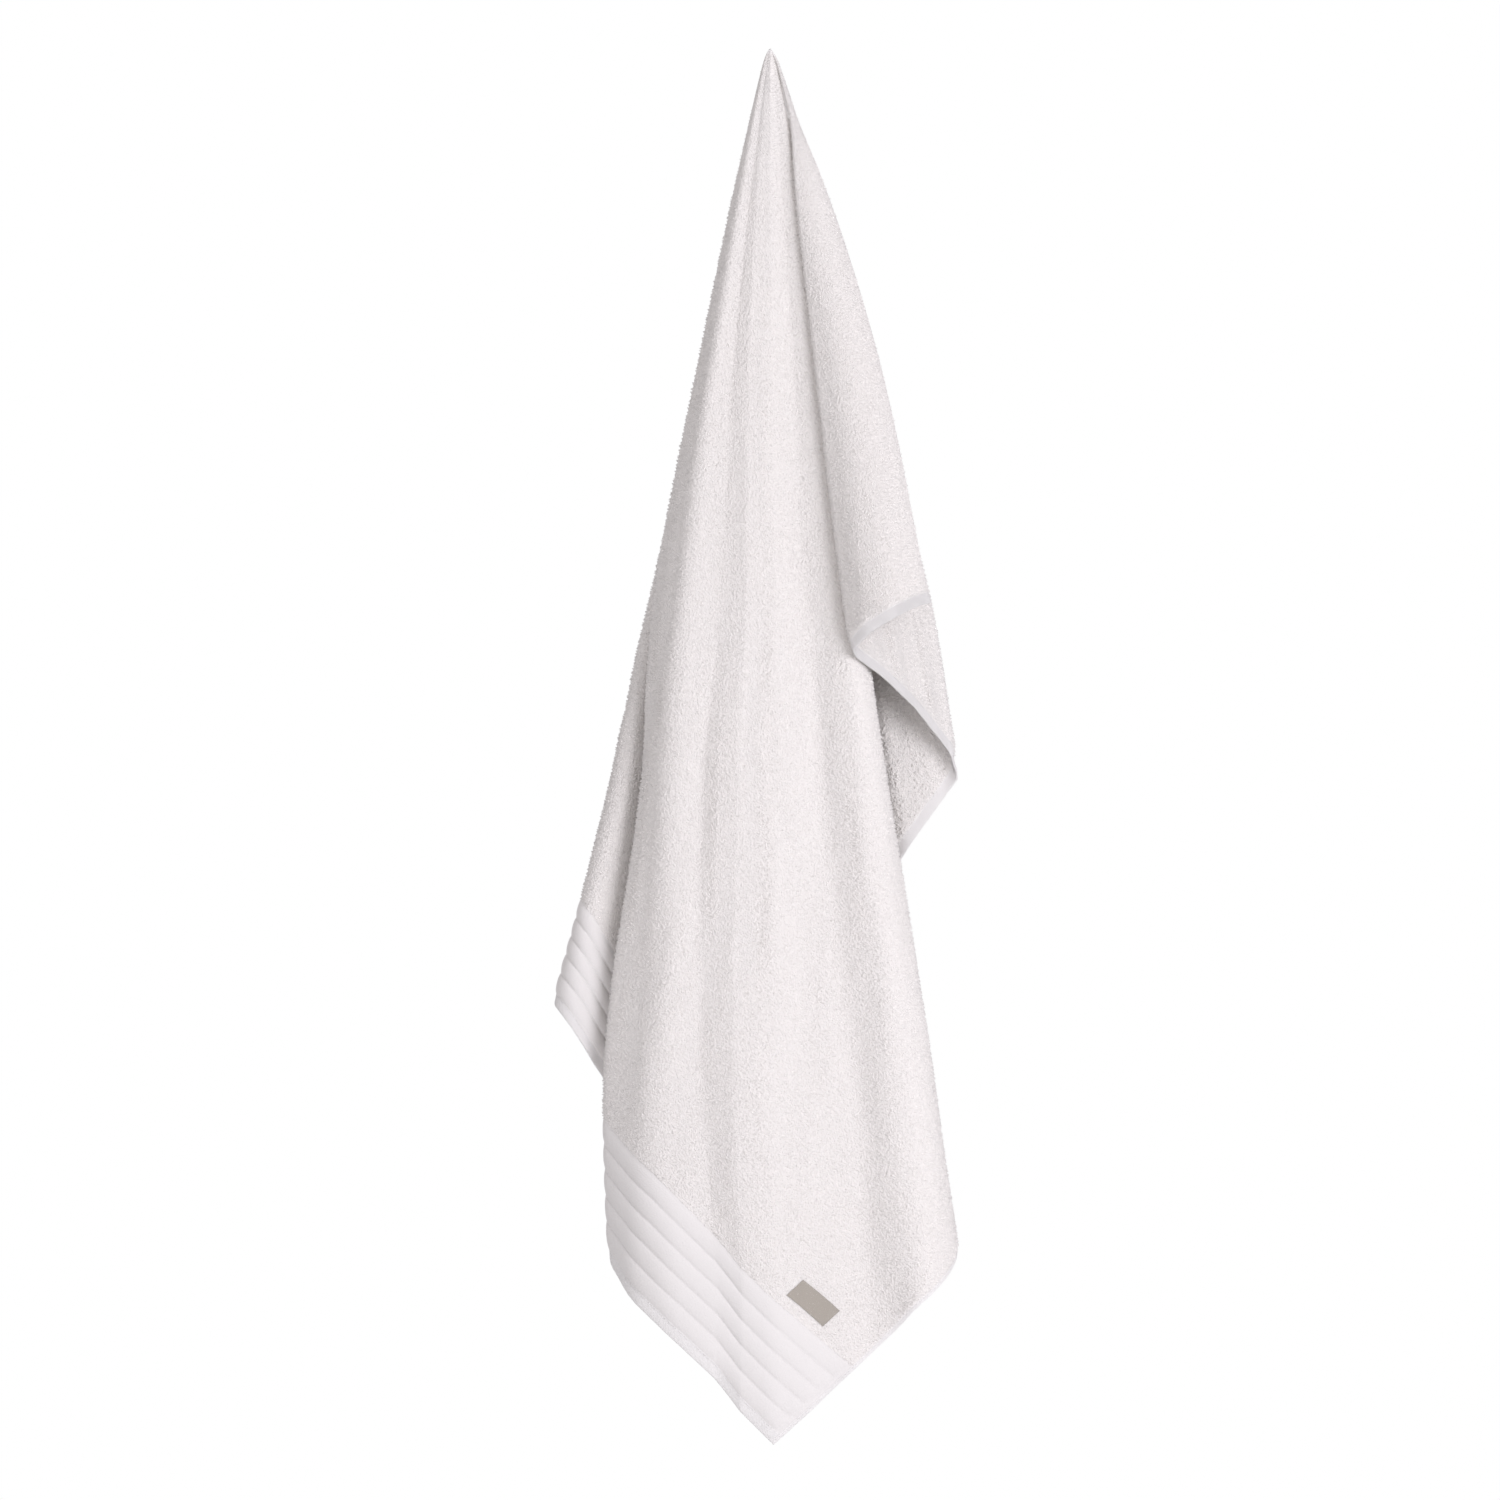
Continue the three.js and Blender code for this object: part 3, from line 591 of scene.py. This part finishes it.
def inner_columns():
    """The mesh's columns between the selvedges: fold, part of the stretch and share of that part."""
    columns = []
    for k in range(len(FOLDS) - 1):
        finer = RIB_END_FINER if FOLDS[k]["bearing"] == RIBBED_CORNER else 1
        lengths = [float(v) * 1000 for v in stretch_lengths(k, np.array(REFERENCE_LEVEL))]
        for part, least in enumerate((ARC_STEPS_LEAST, RUN_STEPS_LEAST, ARC_STEPS_LEAST)):
            if part != 1 and FOLDS[k + part // 2]["turn"] == 0:
                continue
            steps = finer * max(least, round(lengths[part] / (RUN_STEP if part == 1 else ARC_STEP)))
            columns += [(k, part, i / steps) for i in range(steps)]
    bearing = np.array([float(bearing_of(k, part, share, REFERENCE_LEVEL)) for k, part, share in columns])
    after_first = bearing > SELVEDGE_TURN + SELVEDGE_CLEAR
    before_last = bearing < FULL_TURN - SELVEDGE_TURN - SELVEDGE_CLEAR
    return [column for column, kept in zip(columns, after_first & before_last) if kept]


def column_bearings(columns, distances):
    """The bearings of all the mesh's columns, at a distance for each row and column."""
    edge = len(SELVEDGE_STEPS)
    bearings = np.zeros_like(distances)
    widths = np.array(SELVEDGE_STEPS)
    limits = np.linspace(0, SELVEDGE_TURN, edge)
    near_reach = np.maximum(distances[:, :edge] + FOLDS[0]["slack"], 1)
    near = np.degrees(np.arcsin(np.clip(widths / near_reach, 0, 1)))
    bearings[:, :edge] = np.minimum(near, limits)
    far_reach = np.maximum(distances[:, -edge:] + FOLDS[-1]["slack"], 1)
    far = np.degrees(np.arcsin(np.clip(widths[::-1] / far_reach, 0, 1)))
    bearings[:, -edge:] = FULL_TURN - np.minimum(far, limits[::-1])
    fold, part, share = (np.array(values) for values in zip(*columns))
    for k in range(len(FOLDS) - 1):
        for p in range(3):
            pick = np.flatnonzero((fold == k) & (part == p))
            if len(pick):
                bearings[:, edge + pick] = bearing_of(k, p, share[pick], distances[:, edge + pick])
    low, high = SELVEDGE_TURN + SELVEDGE_GAP, FULL_TURN - SELVEDGE_TURN - SELVEDGE_GAP
    bearings[:, edge:-edge] = np.clip(bearings[:, edge:-edge], low, high)
    return bearings


def make_grid():
    """Bearings and distances of the mesh's rows and columns."""
    bands = [RIBBED_BAND + above for above in ABOVE_RIB_ROWS]
    for rib in range(RIB_COUNT - 1, -1, -1):
        bands += [HEM_WIDTH + (rib + share) * RIB_PITCH for share in RIB_ROWS]
    bands += HEM_ROWS
    first_hem = len(bands) - len(HEM_ROWS)
    columns = inner_columns()
    lower = np.full((len(bands), len(columns) + 2 * len(SELVEDGE_STEPS)), REFERENCE_LEVEL)
    for _ in range(GRID_ROUNDS):
        bearings = column_bearings(columns, lower)
        for i, band in enumerate(bands):
            bearing = bearings[i]
            if i >= first_hem:
                inside_end, inside_side = band, band * SIDE_HEM_WIDTH / HEM_WIDTH
            else:
                above = first_hem - i
                inside_end = HEM_WIDTH + SQUEEZED_MARGIN + SQUEEZED_ROW * above
                inside_side = SIDE_HEM_WIDTH + SQUEEZED_MARGIN + SQUEEZED_SIDE_ROW * above
            squeezed = reach_to(bearing, inside_end, inside_side)
            rib_line = (RIBBED_END_FROM_HOOK - band) / np.maximum(np.cos(np.radians(bearing)), 1e-6)
            follows = (bearing < RIB_BEARINGS_END) & (rib_line < squeezed)
            lower[i] = np.where(follows, rib_line, squeezed) - slack_of(bearing)
    start = TIP_ROWS[-1] + FIRST_UPPER_STEP
    shares = (np.arange(UPPER_ROWS)[:, None] / UPPER_ROWS) ** UPPER_ROW_POWER
    upper = start + (lower[0] - start) * shares
    tip = np.broadcast_to(np.array(TIP_ROWS)[:, None], (len(TIP_ROWS), lower.shape[1]))
    distances = np.concatenate([tip, upper, lower])
    return column_bearings(columns, distances), distances


def make_cloth():
    """The sheet as one closed mesh, with both faces, its edges and its tip."""
    bearings, distances = make_grid()
    middle, outward = cloth_frame(bearings, distances)
    from_hook_edge, from_ribbed_end = flat_place(bearings, distances)
    half = thickness_at(from_hook_edge, from_ribbed_end, distances)[..., None] / 2
    front = (middle + outward * half) * MM
    back = (middle - outward * half) * MM
    rows, columns = bearings.shape
    index = np.arange(rows * columns).reshape(rows, columns)
    other = index + rows * columns
    a, b, c, d = index[:-1, :-1], index[1:, :-1], index[1:, 1:], index[:-1, 1:]
    quads = [np.stack([a, b, c, d], -1).reshape(-1, 4)]
    a, b, c, d = other[:-1, :-1], other[:-1, 1:], other[1:, 1:], other[1:, :-1]
    quads.append(np.stack([a, b, c, d], -1).reshape(-1, 4))
    quads.append(rim_quads(index[:, 0], other[:, 0]))
    quads.append(rim_quads(other[:, -1], index[:, -1]))
    quads.append(rim_quads(index[-1], other[-1]))
    quads.append(rim_quads(other[0], index[0]))
    vertices = np.concatenate([front.reshape(-1, 3), back.reshape(-1, 3)])
    obj = new_object("terry_cloth", vertices, np.concatenate(quads))
    uv = np.stack([from_hook_edge * MM, from_ribbed_end * MM], -1).reshape(-1, 2)
    set_uv(obj, np.concatenate([uv, uv]))
    return obj


def surface_spots(from_hook_edge, from_ribbed_end, side, lift=0.0):
    """Points on one face of the cloth at places of the flat cloth, with the face's direction."""
    bearing, distance = bearing_and_distance(from_hook_edge, from_ribbed_end)
    middle, outward = cloth_frame(bearing, distance)
    half = thickness_at(from_hook_edge, from_ribbed_end, distance)[..., None] / 2
    return middle + outward * side * (half + lift), outward * side


def unit_across(outward, helper):
    """Two directions along the surface, at right angles to each other and to its outward direction."""
    first = unit(np.cross(outward, helper))
    return first, np.cross(outward, first)


def make_loops(patch):
    """One patch of the terry's pile: a small leaning tuft for each loop, at uneven places and turns."""
    pitch = patch["spacing"]
    inside_side = SIDE_HEM_WIDTH + LOOPS_FROM_HEM
    across, along = np.meshgrid(
        np.arange(inside_side, CLOTH_WIDTH - inside_side, pitch),
        np.arange(RIBBED_BAND + LOOPS_FROM_RIBS, CLOTH_LENGTH - HEM_WIDTH - LOOPS_FROM_HEM, pitch),
    )
    across = (across + random.uniform(-LOOP_SCATTER, LOOP_SCATTER, across.shape) * pitch).ravel()
    along = (along + random.uniform(-LOOP_SCATTER, LOOP_SCATTER, along.shape) * pitch).ravel()
    bearing, distance = bearing_and_distance(across, along)
    inside = (bearing >= patch["first"]) & (bearing < patch["last"]) & (distance > LOOPS_START)
    across, along = across[inside], along[inside]
    count = len(across)
    growth = smoothstep(distance[inside], LOOPS_START, LOOPS_FULL)
    grown = patch["size"] * growth * (1 - SMALLEST_LOOP) + SMALLEST_LOOP * patch["size"]
    foot, outward = surface_spots(across, along, patch["side"], -LOOP_ROOT)
    first, second = unit_across(outward, LOOP_HELPER)
    turn = random.uniform(0, 2 * np.pi, count)[:, None]
    long_way = first * np.cos(turn) + second * np.sin(turn)
    short_way = second * np.cos(turn) - first * np.sin(turn)
    length = (LOOP_LENGTH * grown * random.uniform(*LOOP_LENGTH_SHARES, count))[:, None]
    width = (LOOP_WIDTH * grown * random.uniform(*LOOP_WIDTH_SHARES, count))[:, None]
    height = (LOOP_HEIGHT * grown * random.uniform(*LOOP_HEIGHT_SHARES, count))[:, None]
    lean = (LOOP_LEAN * grown * random.uniform(-1, 1, count))[:, None]
    corners = [
        foot - long_way * length / 2 - short_way * width / 2,
        foot + long_way * length / 2 - short_way * width / 3,
        foot + short_way * width / 2,
        foot + outward * (height + LOOP_ROOT) + long_way * lean + short_way * lean / 2,
    ]
    corners = [corner * MM for corner in corners]
    base = np.arange(count) * 4
    sides = ((0, 1), (1, 2), (2, 0))
    faces = np.stack([np.stack([base + a, base + b, base + 3], -1) for a, b in sides], 1)
    made = new_object(patch["name"], np.stack(corners, 1), faces, corners=3)
    uv = np.stack([across * MM, along * MM], -1)
    set_uv(made, np.repeat(uv, 4, axis=0))
    return made


def make_stitches():
    """The hems' sewing: a short slim thread for each stitch, on both faces of the cloth."""
    wide = np.arange(STITCH_MARGIN, CLOTH_WIDTH - STITCH_MARGIN, STITCH_PITCH)
    long = np.arange(STITCH_MARGIN, CLOTH_LENGTH - STITCH_MARGIN, STITCH_PITCH)
    end_inside, side_inside = HEM_WIDTH - STITCH_INSIDE, SIDE_HEM_WIDTH - STITCH_INSIDE
    lines = [
        (wide, np.full_like(wide, end_inside), 1, 0),
        (wide, np.full_like(wide, CLOTH_LENGTH - end_inside), 1, 0),
        (np.full_like(long, side_inside), long, 0, 1),
        (np.full_like(long, CLOTH_WIDTH - side_inside), long, 0, 1),
    ]
    points, faces = [], []
    for across, along, x_way, y_way in lines:
        clear = np.hypot(across, along - RIBBED_END_FROM_HOOK) > STITCHES_START
        across, along = across[clear], along[clear]
        for side in (1, -1):
            start, outward = surface_spots(across, along, side)
            end, _ = surface_spots(across + x_way * STITCH_LENGTH, along + y_way * STITCH_LENGTH, side)
            middle, sideways = (start + end) / 2, np.cross(unit(end - start), outward)
            ring = [sideways * THREAD, outward * THREAD, -sideways * THREAD, -outward * THREAD]
            first = sum(len(p) for p in points)
            points.append(np.stack([start, end] + [middle + r for r in ring], 1).reshape(-1, 3))
            base = first + np.arange(len(start))[:, None, None] * 6
            faces.append((base + np.array(THREAD_FACES)).reshape(-1, 3))
    return new_object("hem_stitches", np.concatenate(points) * MM, np.concatenate(faces), corners=3)


def make_label():
    """The label: a thin woven patch with soft corners, a little bowed, just clear of the cloth."""
    u, v = np.meshgrid(np.linspace(0, 1, LABEL["columns"]), np.linspace(0, 1, LABEL["rows"]))
    x = (u - 0.5) * LABEL["length"]
    y = (v - 0.5) * LABEL["height"]
    middle_hook = CLOTH_WIDTH - LABEL["from_side_hem"] - LABEL["length"] / 2
    middle_end = LABEL["from_ribbed_end"] + LABEL["height"] / 2
    bow = LABEL["bow"] * (1 - (2 * u - 1) ** 2)
    points, outward = surface_spots(middle_hook + x, middle_end + y + bow, 1.0)
    rim = np.minimum(np.minimum(u, 1 - u) * LABEL["length"], np.minimum(v, 1 - v) * LABEL["height"])
    share = LABEL["rim_share"] + (1 - LABEL["rim_share"]) * smoothstep(rim, 0, LABEL["soft_edge"])
    puckers = np.sin(u * LABEL["puckers_across"] + 1), np.sin(v * LABEL["puckers_down"])
    thick = LABEL["thickness"] * share + LABEL["pucker"] * puckers[0] * puckers[1]
    low = points + outward * LABEL["gap"]
    high = points + outward * (LABEL["gap"] + thick[..., None])
    rows, columns = u.shape
    index = np.arange(rows * columns).reshape(rows, columns)
    other = index + rows * columns
    faces = [
        np.stack([index[:-1, :-1], index[:-1, 1:], index[1:, 1:], index[1:, :-1]], -1).reshape(-1, 4),
        np.stack([other[:-1, :-1], other[1:, :-1], other[1:, 1:], other[:-1, 1:]], -1).reshape(-1, 4),
        rim_quads(index[:, 0], other[:, 0]),
        rim_quads(other[:, -1], index[:, -1]),
        rim_quads(other[0], index[0]),
        rim_quads(index[-1], other[-1]),
    ]
    vertices = np.concatenate([high.reshape(-1, 3), low.reshape(-1, 3)]) * MM
    made = new_object("woven_label", vertices, np.concatenate(faces))
    uv = np.stack([x, y], -1).reshape(-1, 2) * MM
    set_uv(made, np.concatenate([uv, uv]))
    return made


# Materials

# The Mix node's sockets for colours
MIX_A = 6
MIX_B = 7
MIX_RESULT = 2

# Each material's darker and lighter colour
TERRY_COLORS = (0.915, 0.882, 0.852, 1), (0.99, 0.970, 0.940, 1)
RIB_COLORS = (0.755, 0.735, 0.715, 1), (0.82, 0.80, 0.785, 1)
HEM_COLORS = (0.94, 0.922, 0.905, 1), (0.985, 0.968, 0.95, 1)
THREAD_COLORS = (0.86, 0.84, 0.82, 1), (0.94, 0.925, 0.91, 1)
LABEL_COLORS = (0.47, 0.427, 0.37, 1), (0.613, 0.562, 0.491, 1)

# How far the looks of hems and ribs fade, before and after their lines
HEM_FADE = (0.8, 0.6)
RIBS_FADE = (0.6, 1.4)


class Nodes:
    """Short calls for a material's nodes."""

    def __init__(self, name):
        self.material = bpy.data.materials.new(name)
        self.material.use_nodes = True
        self.tree = self.material.node_tree
        self.shader = next(n for n in self.tree.nodes if n.type == "BSDF_PRINCIPLED")

    def add(self, kind, **inputs):
        """A new node, with inputs given by name."""
        node = self.tree.nodes.new(kind)
        for key, value in inputs.items():
            self.put(node.inputs[key.replace("_", " ")], value)
        return node

    def put(self, socket, value):
        """Sets a socket, or links a node's output to it."""
        if isinstance(value, bpy.types.NodeSocket):
            self.tree.links.new(value, socket)
        else:
            socket.default_value = value

    def math(self, operation, a, b):
        """One operation on two values."""
        node = self.tree.nodes.new("ShaderNodeMath")
        node.operation = operation
        self.put(node.inputs[0], a)
        self.put(node.inputs[1], b)
        return node.outputs[0]

    def mix(self, factor, a, b):
        """A colour between two others."""
        node = self.tree.nodes.new("ShaderNodeMix")
        node.data_type = "RGBA"
        self.put(node.inputs[0], factor)
        self.put(node.inputs[MIX_A], a)
        self.put(node.inputs[MIX_B], b)
        return node.outputs[MIX_RESULT]

    def step(self, value, low, high):
        """The smooth step from 0 at low to 1 at high."""
        node = self.tree.nodes.new("ShaderNodeMapRange")
        node.interpolation_type = "SMOOTHSTEP"
        self.put(node.inputs["Value"], value)
        node.inputs["From Min"].default_value = low
        node.inputs["From Max"].default_value = high
        return node.outputs["Result"]

    def bump(self, height, distance, strength):
        """The surface's direction, changed by small heights."""
        node = self.tree.nodes.new("ShaderNodeBump")
        node.inputs["Strength"].default_value = strength
        node.inputs["Distance"].default_value = distance
        self.put(node.inputs["Height"], height)
        return node.outputs["Normal"]

    def noise(self, vector, scale, detail, roughness):
        """Soft uneven spots."""
        node = self.add("ShaderNodeTexNoise", Scale=scale, Detail=detail, Roughness=roughness)
        self.put(node.inputs["Vector"], vector)
        return node.outputs["Fac"]

    def cells(self, vector, scale):
        """The distance to the nearest of many scattered points."""
        node = self.add("ShaderNodeTexVoronoi", Scale=scale)
        self.put(node.inputs["Vector"], vector)
        return node.outputs["Distance"]


def cloth_material():
    """White cotton: looped terry, smooth ribs and flat woven hems, by the place on the flat cloth."""
    n = Nodes("white_terry")
    flat = n.add("ShaderNodeUVMap")
    flat.uv_map = "flat"
    place = flat.outputs["UV"]
    split = n.add("ShaderNodeSeparateXYZ")
    n.put(split.inputs[0], place)
    from_hook_edge = n.math("MULTIPLY", split.outputs[0], 1 / MM)
    from_ribbed_end = n.math("MULTIPLY", split.outputs[1], 1 / MM)
    from_side = n.math("SUBTRACT", float(CLOTH_WIDTH), from_hook_edge)
    from_plain_end = n.math("SUBTRACT", float(CLOTH_LENGTH), from_ribbed_end)
    ends = n.math("MINIMUM", from_ribbed_end, from_plain_end)
    sides = n.math("MINIMUM", from_hook_edge, from_side)
    inside_ends = n.step(ends, HEM_WIDTH - HEM_FADE[0], HEM_WIDTH + HEM_FADE[1])
    inside_sides = n.step(sides, SIDE_HEM_WIDTH - HEM_FADE[0], SIDE_HEM_WIDTH + HEM_FADE[1])
    hem = n.math("SUBTRACT", 1.0, n.math("MULTIPLY", inside_ends, inside_sides))
    above_ribs = n.step(from_ribbed_end, RIBBED_BAND - RIBS_FADE[0], RIBBED_BAND + RIBS_FADE[1])
    in_ribs = n.math("SUBTRACT", 1.0, above_ribs)
    pile = n.math("SUBTRACT", 1.0, n.math("MAXIMUM", hem, in_ribs))

    loops = n.cells(place, 560.0)
    curls = n.noise(place, 900.0, 3.0, 0.6)
    clumps = n.noise(place, 190.0, 2.0, 0.5)
    grain = n.math("ADD", n.math("MULTIPLY", loops, -0.9), n.math("MULTIPLY", curls, 1.1))
    grain = n.math("ADD", grain, n.math("MULTIPLY", clumps, 0.8))
    velour = n.noise(place, 700.0, 2.0, 0.6)
    weave = n.add("ShaderNodeTexWave", Scale=380.0, Distortion=1.5, Detail=1.0)
    n.put(weave.inputs["Vector"], place)
    threads = n.math("MULTIPLY", weave.outputs["Fac"], 0.25)
    flat_weave = n.math("ADD", threads, n.math("MULTIPLY", velour, 0.35))
    rib_height = n.math("MULTIPLY", velour, n.math("MULTIPLY", in_ribs, 0.35))
    height = n.math("ADD", n.math("MULTIPLY", grain, pile), rib_height)
    height = n.math("ADD", height, n.math("MULTIPLY", flat_weave, hem))
    normal = n.bump(height, 0.0016, 0.85)

    broad = n.noise(place, 9.0, 3.0, 0.5)
    shade = n.math("ADD", n.math("MULTIPLY", grain, 0.16), n.math("MULTIPLY", broad, 0.25))
    color = n.mix(in_ribs, n.mix(shade, *TERRY_COLORS), n.mix(velour, *RIB_COLORS))
    color = n.mix(hem, color, n.mix(velour, *HEM_COLORS))
    n.put(n.shader.inputs["Base Color"], color)
    n.put(n.shader.inputs["Normal"], normal)
    n.shader.inputs["Roughness"].default_value = 0.95
    n.shader.inputs["Specular IOR Level"].default_value = 0.15
    n.shader.inputs["Sheen Weight"].default_value = 0.35
    n.shader.inputs["Sheen Roughness"].default_value = 0.5
    return n.material


def label_material():
    """Beige woven tape."""
    n = Nodes("beige_label")
    flat = n.add("ShaderNodeUVMap")
    flat.uv_map = "flat"
    place = flat.outputs["UV"]
    warp = n.add("ShaderNodeTexWave", Scale=1100.0, Distortion=0.6, Detail=1.0)
    warp.bands_direction = "X"
    weft = n.add("ShaderNodeTexWave", Scale=1500.0, Distortion=0.6, Detail=1.0)
    weft.bands_direction = "Y"
    n.put(warp.inputs["Vector"], place)
    n.put(weft.inputs["Vector"], place)
    threads = n.math("MULTIPLY", warp.outputs["Fac"], weft.outputs["Fac"])
    speckle = n.noise(place, 1400.0, 2.0, 0.6)
    shade = n.math("ADD", n.math("MULTIPLY", threads, 0.6), n.math("MULTIPLY", speckle, 0.4))
    n.put(n.shader.inputs["Base Color"], n.mix(shade, *LABEL_COLORS))
    n.put(n.shader.inputs["Normal"], n.bump(threads, 0.0003, 0.8))
    n.shader.inputs["Roughness"].default_value = 0.75
    n.shader.inputs["Sheen Weight"].default_value = 0.2
    return n.material


def thread_material():
    """White sewing cotton."""
    n = Nodes("white_thread")
    place = n.add("ShaderNodeNewGeometry").outputs["Position"]
    twist = n.noise(place, 2500.0, 1.0, 0.5)
    n.put(n.shader.inputs["Base Color"], n.mix(twist, *THREAD_COLORS))
    n.shader.inputs["Roughness"].default_value = 0.6
    return n.material


# The pieces

terry = cloth_material()
cloth = make_cloth()
cloth.data.materials.append(terry)
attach(cloth, "root")
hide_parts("cloth")

label = make_label()
label.data.materials.append(label_material())
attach(label, "root")
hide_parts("label")

for patch in LOOP_PATCHES:
    loops = make_loops(patch)
    loops.data.materials.append(terry)
    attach(loops, "root")

stitches = make_stitches()
stitches.data.materials.append(thread_material())
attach(stitches, "root")


# Stage, light and camera, in metres

FLOOR_HEIGHT = -1.45
FLOOR_RADIUS = 2.3
FLOOR_SIDES = 96
CAMERA_DISTANCE = 20.0
FRAME_WIDTH = 1.4025
FRAME_CENTRE = Vector((-0.0187, 0.0, -0.6568))
SENSOR = 36.0
CAMERA_REACH = 100.0
AMBIENT = (0.53, 0.513, 0.522, 1)
LIGHT_COLOR = (1.0, 0.985, 1.05)
KEY_AIM = (0.0, 0.0, -0.65)
LOWER_AIM = (0.0, 0.0, -0.7)


def make_floor():
    """A plain pale disc well below the sheet."""
    angles = np.linspace(0, 2 * np.pi, FLOOR_SIDES + 1)[:-1]
    heights = np.full(FLOOR_SIDES, FLOOR_HEIGHT)
    ring = np.stack([np.cos(angles) * FLOOR_RADIUS, np.sin(angles) * FLOOR_RADIUS, heights], -1)
    made = new_object("floor", ring, np.arange(FLOOR_SIDES), smooth=False, corners=FLOOR_SIDES)
    n = Nodes("pale_floor")
    n.shader.inputs["Base Color"].default_value = (0.88, 0.88, 0.88, 1)
    n.shader.inputs["Roughness"].default_value = 0.9
    made.data.materials.append(n.material)


def add_light(name, place, aim, size, power):
    """A soft round light."""
    data = bpy.data.lights.new(name, "AREA")
    data.shape = "DISK"
    data.size = size
    data.energy = power
    data.color = LIGHT_COLOR
    made = bpy.data.objects.new(name, data)
    made.location = place
    made.rotation_mode = "QUATERNION"
    made.rotation_quaternion = (Vector(aim) - Vector(place)).to_track_quat("-Z", "Y")
    bpy.context.scene.collection.objects.link(made)
    return made


def make_world():
    """Soft light from all around, and white behind the sheet."""
    world = bpy.data.worlds.new("studio")
    bpy.context.scene.world = world
    world.use_nodes = True
    tree = world.node_tree
    background = tree.nodes["Background"]
    seen = tree.nodes.new("ShaderNodeLightPath")
    color = tree.nodes.new("ShaderNodeMix")
    color.data_type = "RGBA"
    color.inputs[MIX_A].default_value = AMBIENT
    color.inputs[MIX_B].default_value = (1.0, 1.0, 1.0, 1)
    tree.links.new(seen.outputs["Is Camera Ray"], color.inputs[0])
    tree.links.new(color.outputs[MIX_RESULT], background.inputs["Color"])


make_floor()
make_world()
add_light("key", place=(1.95, -2.8, -0.2), aim=KEY_AIM, size=2.0, power=62.5)
add_light("front", place=(-1.9, -4.2, -0.1), aim=LOWER_AIM, size=3.0, power=28.0)
back = add_light("back", place=(-0.8, 3.6, -0.1), aim=LOWER_AIM, size=2.0, power=55.0)
back.visible_camera = False

camera_data = bpy.data.cameras.new("camera")
camera_data.sensor_width = SENSOR
camera_data.lens = SENSOR * CAMERA_DISTANCE / FRAME_WIDTH
camera_data.clip_end = CAMERA_REACH
camera = bpy.data.objects.new("camera", camera_data)
camera.location = FRAME_CENTRE + Vector((0, -CAMERA_DISTANCE, 0))
camera.rotation_euler = (math.pi / 2, 0, 0)
bpy.context.scene.collection.objects.link(camera)
bpy.context.scene.camera = camera

bpy.context.scene.view_settings.view_transform = "Standard"
bpy.context.scene.cycles.diffuse_bounces = 10
